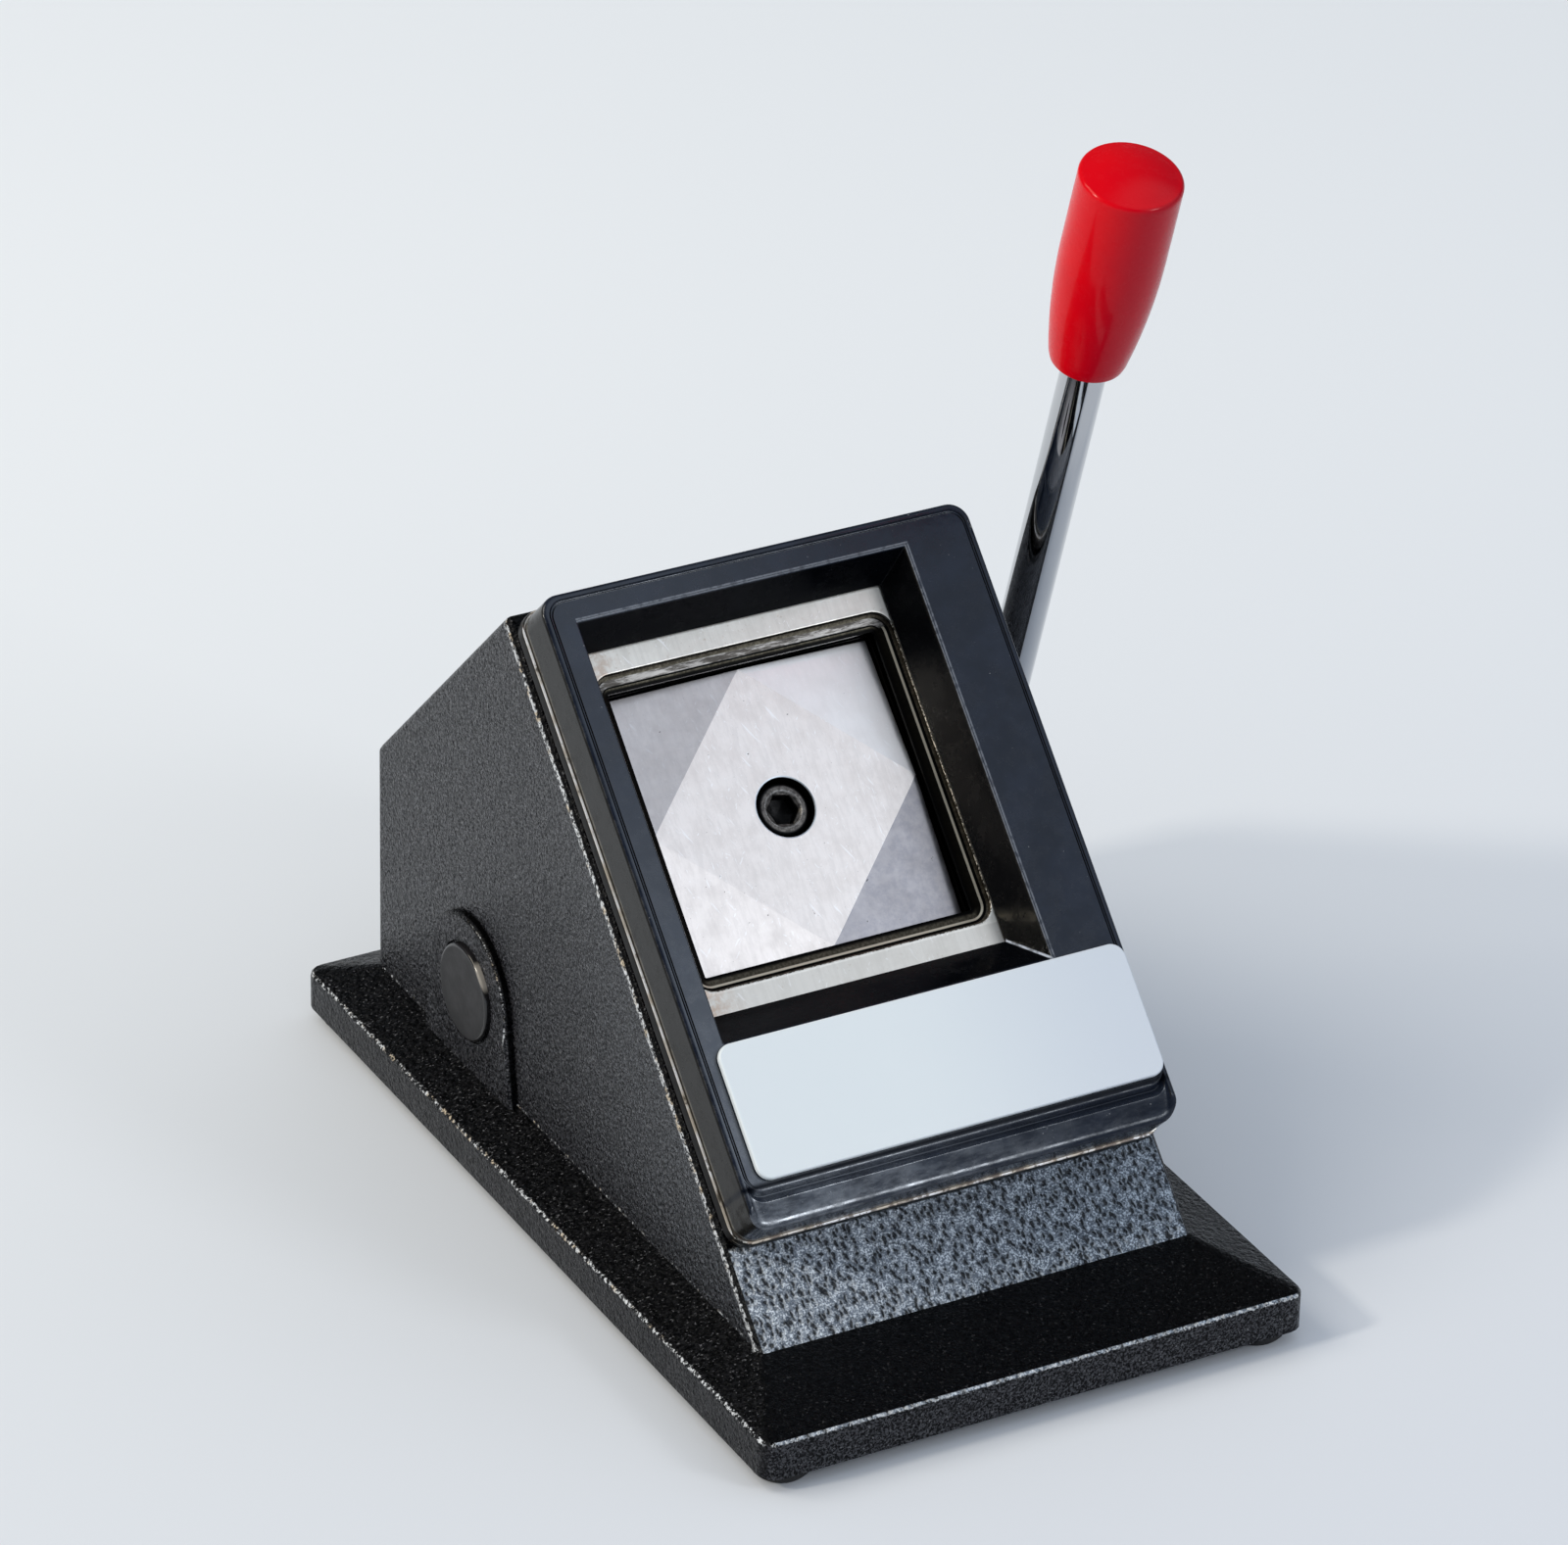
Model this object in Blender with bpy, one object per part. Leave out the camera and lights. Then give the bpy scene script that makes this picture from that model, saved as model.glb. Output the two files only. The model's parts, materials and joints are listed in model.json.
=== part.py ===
"""Desk cutter for square passport photos, with a side lever.

World frame: X to the right, Y to the back, Z up, metres, standing on z = 0 with
the bounding box centred on x = y = 0.  The working face slopes back at
FACE_ANGLE.  Everything on that face is placed in the face frame: u to the right,
v up the slope, n out of the face, with the origin at the face's lower edge.

Pulling the lever forward turns the cross shaft.  An involute lobe on the shaft
lifts the ram at a constant rate, the ram carries the punch through the photo and
the die, and two springs push the ram back onto the guide bolts' heads.
"""
import math

import bmesh
import bpy
from mathutils import Matrix, Vector

MM = 0.001

# Fits
SEAT = 0.3 * MM
RUNNING = 0.3 * MM
OVERRUN = 2 * MM
EMBED = 1 * MM
WELD = 0.003 * MM
SHARP_ANGLE = math.radians(35)

# Base flange and its feet
FLANGE_FRONT = 21 * MM
FLANGE_BACK = 8.7 * MM
FLANGE_SIDE = 10.3 * MM
BASE_CORNER = 3 * MM
RIM_HEIGHT = 7.2 * MM
RIM_ROUND = 0.9 * MM
SKIRT_RISE = 2.6 * MM
FOOT_HEIGHT = 2.6 * MM
FOOT_RADIUS = 5 * MM
FOOT_INSET = 6.2 * MM
FOOT_ROUND = 0.8 * MM
FOOT_STEM_RADIUS = 1.9 * MM
FOOT_STEM_LENGTH = 4.5 * MM

# Body casting
FACE_ANGLE = math.radians(45)
FACE_MARGIN = 1.65 * MM
BACK_REACH = 38.3 * MM
BODY_ROUND = 1.2 * MM
SIDE_WALL = 5 * MM
BACK_WALL = 5 * MM
TOP_WALL = 4 * MM
FACE_WALL = 8 * MM

# Shaft line, its bosses, bushes and end cap
SHAFT_RADIUS = 6 * MM
PAD_RADIUS = 14.5 * MM
PAD_FLARE = 2.4 * MM
PAD_HEIGHT = 1.6 * MM
PAD_ROUND = 0.6 * MM
INNER_BOSS_RADIUS = 12.5 * MM
INNER_BOSS_LENGTH = 6 * MM
BUSH_WALL = 2 * MM
BUSH_FLANGE_RADIUS = 10.5 * MM
BUSH_FLANGE = 1.5 * MM
CAP_RADIUS = 8.9 * MM
CAP_HEAD = 2 * MM
CAP_ROUND = 0.8 * MM
CAP_RECESS = 0.6 * MM
CAP_RING = 0.5 * MM
CAP_SPIGOT = 2.5 * MM
CAP_WALL = 1.4 * MM
WASHER_RADIUS = 9.5 * MM
WASHER_THICKNESS = 1 * MM
CLIP_WIDTH = 1 * MM
CLIP_RADIUS = 8.2 * MM
CLIP_GROOVE = 0.9 * MM
CLIP_MOUTH = math.radians(70)

# Punch and die
PUNCH_SIDE = 50.6 * MM
PUNCH_HEIGHT = 24 * MM
SHEAR_DROP = 1.2 * MM
TRAVEL = 6 * MM
GUIDE_THICKNESS = 4 * MM
GUIDE_SIDE_MARGIN = 7.4 * MM
GUIDE_END_MARGIN = 2.9 * MM
SPACER_THICKNESS = 1 * MM
SPACER_INSET = 2 * MM
DIE_THICKNESS = 2.5 * MM
DIE_LIP = 0.5 * MM
CUTTING_LAND = 0.6 * MM
RELIEF_SLOPE = 0.8 * MM
RELIEF_MARGIN = 2.9 * MM
RELIEF_CORNER = 3.5 * MM
CUT_CORNER = 0.3 * MM

# Bezel and label plate
BEZEL_BOTTOM = 17.9 * MM
RAIL_LEFT = 5.6 * MM
RAIL_RIGHT = 13.6 * MM
RAIL_TOP = 5.55 * MM
RAIL_BOTTOM = 31.7 * MM
BEZEL_THICKNESS = 8.55 * MM
BEZEL_CORNER = 3.6 * MM
BEZEL_ROUND = 1 * MM
BEZEL_BAND = 5.4 * MM
BEZEL_BAND_DROP = 1.6 * MM
WINDOW_LEDGE = 4.1 * MM
WINDOW_SIDE_BEVEL = 2.9 * MM
WINDOW_TOP_BEVEL = 3.8 * MM
WINDOW_BOTTOM_BEVEL = 6.6 * MM
LABEL_LEFT = 3.4 * MM
LABEL_RIGHT = 0.8 * MM
LABEL_BOTTOM = 7.6 * MM
LABEL_DROP = 0.3 * MM
LABEL_THICKNESS = 1 * MM
LABEL_CORNER = 2.6 * MM

# Ram, guide bolts and return springs
RAM_THICKNESS = 9 * MM
RAM_WIDTH = 22 * MM
RAM_STEM = 28 * MM
RAM_STEM_LENGTH = 20.3 * MM
RAM_END_WALL = 2 * MM
GUIDE_CLEARANCE = 7.2 * MM
GUIDE_BOLT_RADIUS = 3 * MM
GUIDE_THREAD_RADIUS = 2.5 * MM
GUIDE_THREAD_LENGTH = 5.5 * MM
GUIDE_HEAD_RADIUS = 4.5 * MM
GUIDE_HEAD_HEIGHT = 4 * MM
GUIDE_SOCKET_RADIUS = 2.2 * MM
GUIDE_SOCKET_DEPTH = 2.2 * MM
RAM_BUSH_WALL = 0.9 * MM
SPRING_WIRE_RADIUS = 0.55 * MM
SPRING_RADIUS = 4.2 * MM
SPRING_TURNS = 5.5

# Lever, hub and cam
LEVER_LEAN = math.radians(16.9)
LEVER_SWING = math.radians(60)
HUB_RADIUS = 11 * MM
HUB_INNER = 9.5 * MM
HUB_OUTER = 8.5 * MM
HUB_ROUND = 1 * MM
ROD_RADIUS = 4 * MM
ROD_IN_GRIP = 30 * MM
GRIP_START = 121.8 * MM
GRIP_LENGTH = 40.7 * MM
GRIP_RADIUS = 9 * MM
GRIP_NECK = 6.5 * MM
GRIP_NECK_ROUND = 0.7 * MM
GRIP_RIM_ROUND = 0.9 * MM
GRIP_DOME = 1.6 * MM
GRIP_FULL_SHARE = 0.7
CAM_REST_HEIGHT = 10 * MM
CAM_OFFSET = 1.5 * MM
CAM_HUB_WALL = 3.1 * MM
CAM_WIDTH = 12 * MM
CAM_MARGIN = math.radians(3)
CAM_TIP = math.radians(8)
GRUB_RADIUS = 2 * MM

# Screws
PUNCH_SCREW_RADIUS = 3 * MM
PUNCH_SCREW_HEAD_RADIUS = 5 * MM
PUNCH_SCREW_HEAD = 6 * MM
PUNCH_SCREW_BITE = 12 * MM
PUNCH_SCREW_SUNK = 1 * MM
PUNCH_SOCKET_RADIUS = 2.9 * MM
PUNCH_SOCKET_DEPTH = 3.2 * MM
PUNCH_SCREW_ROUND = 0.5 * MM
BEZEL_SCREW_RADIUS = 1.5 * MM
BEZEL_SCREW_HEAD_RADIUS = 2.75 * MM
BEZEL_SCREW_HEAD = 2 * MM
BEZEL_SCREW_INSET = 8.5 * MM
BEZEL_SCREW_UPPER = 5.6 * MM
BEZEL_SCREW_LOWER = 15 * MM
BEZEL_SCREW_BITE = 3 * MM
PLATE_SCREW_RADIUS = 1.5 * MM
PLATE_SCREW_HEAD_RADIUS = 2.7 * MM
PLATE_SCREW_BITE = 2.8 * MM
PLATE_SCREW_INSET = 10.5 * MM
COVER_SCREW_RADIUS = 2 * MM
COVER_SCREW_HEAD_RADIUS = 3.4 * MM
COVER_SCREW_ROOF = 0.7 * MM
COVER_SCREW_SIDE = 9.7 * MM
COVER_SCREW_END = 4.5 * MM
SCREW_SUNK = 0.1 * MM

# Bottom cover
COVER_GAP = 0.7 * MM
COVER_END = 5 * MM
COVER_THICKNESS = 1.5 * MM
COVER_CORNER = 6 * MM

# Facets of round shapes
FINE_STEPS = 40
ROUND_STEPS = 24
SMALL_STEPS = 16
CORNER_STEPS = 4
TIGHT_STEPS = 2
EDGE_STEPS = 3
WIRE_SIDES = 6
TURN_POINTS = 10
FLANK_STEPS = 12
HEX_SIDES = 6

# Punch, die opening and window, about the punch's centre
CUT_HALF = PUNCH_SIDE / 2 + RUNNING
RELIEF_HALF = CUT_HALF + RELIEF_MARGIN
WINDOW_HALF_U = RELIEF_HALF
WINDOW_HALF_V = RELIEF_HALF + WINDOW_LEDGE
GUIDE_HALF_U = CUT_HALF + GUIDE_SIDE_MARGIN
GUIDE_HALF_V = CUT_HALF + GUIDE_END_MARGIN

# Bezel round the window, then the body under the bezel
PUNCH_CENTRE_U = (RAIL_LEFT - RAIL_RIGHT) / 2
WINDOW_BOTTOM = BEZEL_BOTTOM + RAIL_BOTTOM
PUNCH_CENTRE_V = WINDOW_BOTTOM + WINDOW_BOTTOM_BEVEL + WINDOW_HALF_V
BEZEL_HALF = WINDOW_HALF_U + WINDOW_SIDE_BEVEL + (RAIL_LEFT + RAIL_RIGHT) / 2
BEZEL_TOP = PUNCH_CENTRE_V + WINDOW_HALF_V + WINDOW_TOP_BEVEL + RAIL_TOP
FACE_LENGTH = BEZEL_TOP + FACE_MARGIN
SLOPE_RUN = FACE_LENGTH * math.cos(FACE_ANGLE)
SLOPE_RISE = FACE_LENGTH * math.sin(FACE_ANGLE)
BODY_HALF = BEZEL_HALF + DIE_LIP
INNER_HALF = BODY_HALF - SIDE_WALL

# Levels of the face stack along n
SPACER_BOTTOM = SEAT
DIE_BOTTOM = SPACER_BOTTOM + SPACER_THICKNESS + SEAT
DIE_TOP = DIE_BOTTOM + DIE_THICKNESS
BEZEL_BACK = DIE_TOP + SEAT
BEZEL_FRONT = BEZEL_BACK + BEZEL_THICKNESS
RAM_TOP = -PUNCH_HEIGHT - SEAT
RAM_BOTTOM = RAM_TOP - RAM_THICKNESS
RAM_FOOT = RAM_BOTTOM - RAM_STEM_LENGTH

# Ram on its guide bolts
GUIDE_REACH = PUNCH_SIDE / 2 + GUIDE_CLEARANCE
GUIDE_V = (PUNCH_CENTRE_V - GUIDE_REACH, PUNCH_CENTRE_V + GUIDE_REACH)
RAM_BUSH_BORE = GUIDE_BOLT_RADIUS + RUNNING
RAM_BUSH_RADIUS = RAM_BUSH_BORE + RAM_BUSH_WALL
RAM_HOLE_RADIUS = RAM_BUSH_RADIUS + SEAT
RAM_HALF = GUIDE_REACH + RAM_HOLE_RADIUS + RAM_END_WALL
PUNCH_SCREW_LENGTH = PUNCH_HEIGHT - PUNCH_SCREW_SUNK - PUNCH_SCREW_HEAD + PUNCH_SCREW_BITE

# Shaft under the ram's foot, and the body and base round the shaft
CAM_BASE = TRAVEL / LEVER_SWING
CAM_HUB_RADIUS = SHAFT_RADIUS + SEAT + CAM_HUB_WALL
SHAFT_V = PUNCH_CENTRE_V + CAM_OFFSET - CAM_BASE
SHAFT_N = RAM_FOOT - SEAT - CAM_REST_HEIGHT
SHAFT_RUN = SHAFT_V * math.cos(FACE_ANGLE) - SHAFT_N * math.sin(FACE_ANGLE)
RIM_TOP = FOOT_HEIGHT + RIM_HEIGHT
SKIRT_TOP = RIM_TOP + SKIRT_RISE
BASE_HALF_X = BODY_HALF + FLANGE_SIDE
BASE_HALF_Y = (FLANGE_FRONT + SHAFT_RUN + BACK_REACH + FLANGE_BACK) / 2
BODY_FRONT = FLANGE_FRONT - BASE_HALF_Y
BODY_BACK = BASE_HALF_Y - FLANGE_BACK
SHAFT_Y = BODY_FRONT + SHAFT_RUN
SHAFT_Z = SKIRT_TOP + SHAFT_V * math.sin(FACE_ANGLE) + SHAFT_N * math.cos(FACE_ANGLE)
COVER_HALF_X = BASE_HALF_X - FOOT_INSET - FOOT_RADIUS - COVER_GAP
COVER_HALF_Y = BASE_HALF_Y - COVER_END

# Pieces along the shaft, from its middle outwards
PAD_FACE = BODY_HALF + PAD_HEIGHT
BUSH_RADIUS = SHAFT_RADIUS + RUNNING + BUSH_WALL
BORE_RADIUS = BUSH_RADIUS + SEAT
INNER_BOSS_FACE = INNER_HALF - INNER_BOSS_LENGTH
WASHER_FACE = PAD_FACE + SEAT + BUSH_FLANGE + SEAT
HUB_FACE = WASHER_FACE + WASHER_THICKNESS + SEAT
LEVER_OFFSET = HUB_FACE + HUB_INNER
HUB_END = LEVER_OFFSET + HUB_OUTER
GRIP_END = GRIP_START + GRIP_LENGTH
CASTING_X = (BASE_HALF_X - LEVER_OFFSET - GRIP_RADIUS) / 2

# Lengths of the screws
BEZEL_SCREW_V = (BEZEL_BOTTOM + BEZEL_SCREW_LOWER, BEZEL_TOP - BEZEL_SCREW_UPPER)
PLATE_SCREW_LENGTH = GUIDE_THICKNESS + PLATE_SCREW_BITE
COVER_SCREW_LENGTH = RIM_HEIGHT - COVER_SCREW_ROOF


def clear_scene():
    """Empty the scene, whatever it holds."""
    for obj in list(bpy.data.objects):
        bpy.data.objects.remove(obj, do_unlink=True)


def material(name, colour, roughness, metallic):
    """A Principled material with one colour."""
    mat = bpy.data.materials.new(name)
    mat.use_nodes = True
    shader = mat.node_tree.nodes["Principled BSDF"]
    shader.inputs["Base Color"].default_value = (*colour, 1)
    shader.inputs["Roughness"].default_value = roughness
    shader.inputs["Metallic"].default_value = metallic
    mat.diffuse_color = (*colour, 1)
    return mat


def frame(name, location, rotation=(0, 0, 0), parent=None):
    """An empty that carries a group of pieces."""
    empty = bpy.data.objects.new(name, None)
    empty.location = location
    empty.rotation_euler = rotation
    empty.parent = parent
    bpy.context.collection.objects.link(empty)
    return empty


def finish(name, bm, mat, parent, location=(0, 0, 0), rotation=(0, 0, 0), smooth=True):
    """Turn a bmesh into a named object in its frame."""
    bmesh.ops.recalc_face_normals(bm, faces=bm.faces)
    mesh = bpy.data.meshes.new(name)
    bm.to_mesh(mesh)
    bm.free()
    if mat is not None:
        mesh.materials.append(mat)
    if smooth:
        mesh.shade_smooth()
        mesh.set_sharp_from_angle(angle=SHARP_ANGLE)
    obj = bpy.data.objects.new(name, mesh)
    obj.location = location
    obj.rotation_euler = rotation
    obj.parent = parent
    bpy.context.collection.objects.link(obj)
    return obj


def combine(target, tool_bm, operation, parent, label):
    """Cut a shape out of an object, or join it on, with a hidden tool."""
    tool = finish(f"{target.name}_{label}", tool_bm, None, parent, smooth=False)
    tool.hide_render = True
    tool.display_type = "WIRE"
    modifier = target.modifiers.new(label, "BOOLEAN")
    modifier.operation = operation
    modifier.solver = "EXACT"
    modifier.object = tool
    return target


def cut(target, tool_bm, parent, label):
    return combine(target, tool_bm, "DIFFERENCE", parent, label)


def join(target, tool_bm, parent, label):
    return combine(target, tool_bm, "UNION", parent, label)


def merged(shapes):
    """One bmesh that holds several separate shapes."""
    result = bmesh.new()
    for shape in shapes:
        mesh = bpy.data.meshes.new("shape")
        bmesh.ops.recalc_face_normals(shape, faces=shape.faces)
        shape.to_mesh(mesh)
        shape.free()
        result.from_mesh(mesh)
        bpy.data.meshes.remove(mesh)
    return result


def moved(shape, offset):
    bmesh.ops.translate(shape, verts=shape.verts, vec=Vector(offset))
    return shape


def turned_to_x(shape):
    """Turn a shape built along Z so that it lies along X."""
    bmesh.ops.rotate(shape, verts=shape.verts, cent=(0, 0, 0),
                     matrix=Matrix.Rotation(math.pi / 2, 3, "Y"))
    return shape


def flipped(shape):
    """Turn a shape built up along Z so that it hangs down along Z."""
    bmesh.ops.rotate(shape, verts=shape.verts, cent=(0, 0, 0),
                     matrix=Matrix.Rotation(math.pi, 3, "X"))
    return shape


def on_xy(a, b, height):
    return (a, b, height)


def on_yz(a, b, height):
    return (height, a, b)


def prism(outline, low, high, plane=on_xy):
    """Extrude a closed outline from one height to another."""
    bm = bmesh.new()
    face = bm.faces.new([bm.verts.new(plane(a, b, low)) for a, b in outline])
    grown = bmesh.ops.extrude_face_region(bm, geom=[face])
    top = [item for item in grown["geom"] if isinstance(item, bmesh.types.BMVert)]
    rise = Vector(plane(0, 0, high)) - Vector(plane(0, 0, low))
    bmesh.ops.translate(bm, verts=top, vec=rise)
    return bm


def loft(loops):
    """Join closed loops of equally many 3-D points, with a cap at each end."""
    bm = bmesh.new()
    rings = [[bm.verts.new(point) for point in loop] for loop in loops]
    bm.faces.new(rings[0])
    bm.faces.new(rings[-1])
    for low, high in zip(rings, rings[1:]):
        for i in range(len(low)):
            j = (i + 1) % len(low)
            bm.faces.new((low[i], low[j], high[j], high[i]))
    return bm


def revolve(profile, steps, ring=False):
    """Spin a profile of (radius, height) points round Z; a ring's profile is closed."""
    bm = bmesh.new()
    verts = [bm.verts.new((radius, 0, height)) for radius, height in profile]
    pairs = list(zip(verts, verts[1:]))
    if ring:
        pairs.append((verts[-1], verts[0]))
    edges = [bm.edges.new(pair) for pair in pairs]
    bmesh.ops.spin(bm, geom=verts + edges, cent=(0, 0, 0), axis=(0, 0, 1),
                   angle=2 * math.pi, steps=steps, use_merge=True)
    bmesh.ops.remove_doubles(bm, verts=bm.verts, dist=WELD)
    return bm


def rod(radius, low, high, steps=ROUND_STEPS):
    """A plain cylinder along Z."""
    return revolve([(0, low), (radius, low), (radius, high), (0, high)], steps)


def tube(inner, outer, low, high, steps=ROUND_STEPS):
    """A plain ring along Z."""
    return revolve([(inner, low), (outer, low), (outer, high), (inner, high)], steps, ring=True)


def arc(centre, radius, start, end, steps):
    """Points along an arc, both ends included."""
    return [(centre[0] + radius * math.cos(start + (end - start) * i / steps),
             centre[1] + radius * math.sin(start + (end - start) * i / steps))
            for i in range(steps + 1)]


def rounded(left, right, bottom, top, radius, steps=CORNER_STEPS):
    """The outline of a rectangle with rounded corners, counter-clockwise."""
    quarter = math.pi / 2
    corners = ((right - radius, bottom + radius, -quarter), (right - radius, top - radius, 0),
               (left + radius, top - radius, quarter), (left + radius, bottom + radius, math.pi))
    points = []
    for x, y, start in corners:
        points += arc((x, y), radius, start, start + quarter, steps)
    return points


def square(centre_u, centre_v, half_u, half_v, radius, steps=CORNER_STEPS):
    """A rounded rectangle about a centre."""
    return rounded(centre_u - half_u, centre_u + half_u, centre_v - half_v, centre_v + half_v,
                   radius, steps)


def at_height(outline, height):
    return [(a, b, height) for a, b in outline]


def sunk_screw(head_radius, radius, length):
    """A countersunk screw with its head up at z = 0 and its shank down."""
    cone = head_radius - radius
    return revolve([(0, 0), (head_radius, 0), (radius, -cone), (radius, -length), (0, -length)],
                   SMALL_STEPS)


def sunk_screw_hole(head_radius, radius, length):
    """The hole for that screw, one seat gap larger all round."""
    cone = head_radius - radius
    head, bore, end = head_radius + SEAT, radius + SEAT, -length - SEAT
    return revolve([(0, OVERRUN), (head, OVERRUN), (head, -SEAT), (bore, -cone - SEAT),
                    (bore, end), (0, end)], SMALL_STEPS)


def hexagon(radius):
    return arc((0, 0), radius, 0, 2 * math.pi * (1 - 1 / HEX_SIDES), HEX_SIDES - 1)


def body_profile():
    """Side view of the body in (y, z): slope, square top corner, chamfer, back."""
    ridge = (BODY_FRONT + SLOPE_RUN, SKIRT_TOP + SLOPE_RISE)
    back_drop = (BODY_BACK - ridge[0]) / math.tan(FACE_ANGLE)
    low = SKIRT_TOP - SKIRT_RISE
    front = BODY_FRONT - (SKIRT_TOP - low) / math.tan(FACE_ANGLE)
    return [(front, low), (BODY_BACK, low), (BODY_BACK, ridge[1] - back_drop), ridge]


def cavity_profile():
    """The body's hollow in (y, z), open through the bottom of the base."""
    cos_a, sin_a, tan_a = math.cos(FACE_ANGLE), math.sin(FACE_ANGLE), math.tan(FACE_ANGLE)
    floor = FOOT_HEIGHT - OVERRUN
    inner_v = FACE_LENGTH - TOP_WALL
    ridge = (BODY_FRONT + inner_v * cos_a + FACE_WALL * sin_a,
             SKIRT_TOP + inner_v * sin_a - FACE_WALL * cos_a)
    back = BODY_BACK - BACK_WALL
    return [(ridge[0] - (ridge[1] - floor) / tan_a, floor), (back, floor),
            (back, ridge[1] - (back - ridge[0]) / tan_a), ridge]


def base_flange():
    """Flange with a rounded rim and a skirt that slopes up to the body."""
    half_x, half_y = BASE_HALF_X, BASE_HALF_Y
    loops = [at_height(rounded(-half_x, half_x, -half_y, half_y, BASE_CORNER), FOOT_HEIGHT)]
    for i in range(EDGE_STEPS + 1):
        turn = i / EDGE_STEPS * math.pi / 2
        inset = RIM_ROUND * (1 - math.cos(turn))
        height = RIM_TOP - RIM_ROUND * (1 - math.sin(turn))
        loops.append(at_height(rounded(-half_x + inset, half_x - inset, -half_y + inset,
                                       half_y - inset, BASE_CORNER - inset), height))
    side = BODY_HALF - EMBED
    loops.append(at_height(rounded(-side, side, BODY_FRONT + EMBED, BODY_BACK - EMBED,
                                   BODY_ROUND), SKIRT_TOP + SEAT / 2))
    return loft(loops)


def tombstone():
    """Outline in (y, z) of the raised pad round the shaft's end: an arch on flared sides."""
    low, foot = SKIRT_TOP - EMBED, PAD_RADIUS + PAD_FLARE
    points = arc((SHAFT_Y, SHAFT_Z), PAD_RADIUS, 0, math.pi, FINE_STEPS // 2)
    return points + [(SHAFT_Y - foot, low), (SHAFT_Y + foot, low)]


def rounded_pad(side):
    """One pad with a softened outer edge, on the left (-1) or right (+1) wall."""
    outline = tombstone()
    steps = [(BODY_HALF - EMBED, 0), (PAD_FACE - PAD_ROUND, 0), (PAD_FACE, PAD_ROUND)]
    loops = []
    for x, inset in steps:
        share = 1 - inset / PAD_RADIUS
        loops.append([(side * x, SHAFT_Y + (y - SHAFT_Y) * share,
                       SHAFT_Z + max(z - SHAFT_Z, 0) * share + min(z - SHAFT_Z, 0))
                      for y, z in outline])
    return loft(loops)


def four_places(name, left, right, low, high):
    """Named centres of four like pieces at the corners of a rectangle."""
    return {f"{name}_{row}_{side}": (x, y) for row, y in (("lower", low), ("upper", high))
            for side, x in (("left", left), ("right", right))}


def bezel_screw_places():
    """Centres (u, v) of the screws that hold the bezel."""
    reach = INNER_HALF - BEZEL_SCREW_INSET
    return four_places("bezel_screw", -reach, reach, *BEZEL_SCREW_V)


def guide_screw_places():
    """Centres (u, v) of the guide plate's screws, between its hole and its side edges."""
    reach_u = (CUT_HALF + GUIDE_HALF_U) / 2
    reach_v = GUIDE_HALF_V - PLATE_SCREW_INSET
    return four_places("guide_screw", PUNCH_CENTRE_U - reach_u, PUNCH_CENTRE_U + reach_u,
                       PUNCH_CENTRE_V - reach_v, PUNCH_CENTRE_V + reach_v)


def cover_screw_places():
    """Centres (x, y) of the bottom cover's screws."""
    reach_x = COVER_HALF_X - COVER_SCREW_SIDE
    reach_y = COVER_HALF_Y - COVER_SCREW_END
    return four_places("cover_screw", -reach_x, reach_x, -reach_y, reach_y)


def foot_places():
    """Centres (x, y) of the feet."""
    reach_x = BASE_HALF_X - FOOT_INSET
    reach_y = BASE_HALF_Y - FOOT_INSET
    return four_places("foot", -reach_x, reach_x, -reach_y, reach_y)


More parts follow.
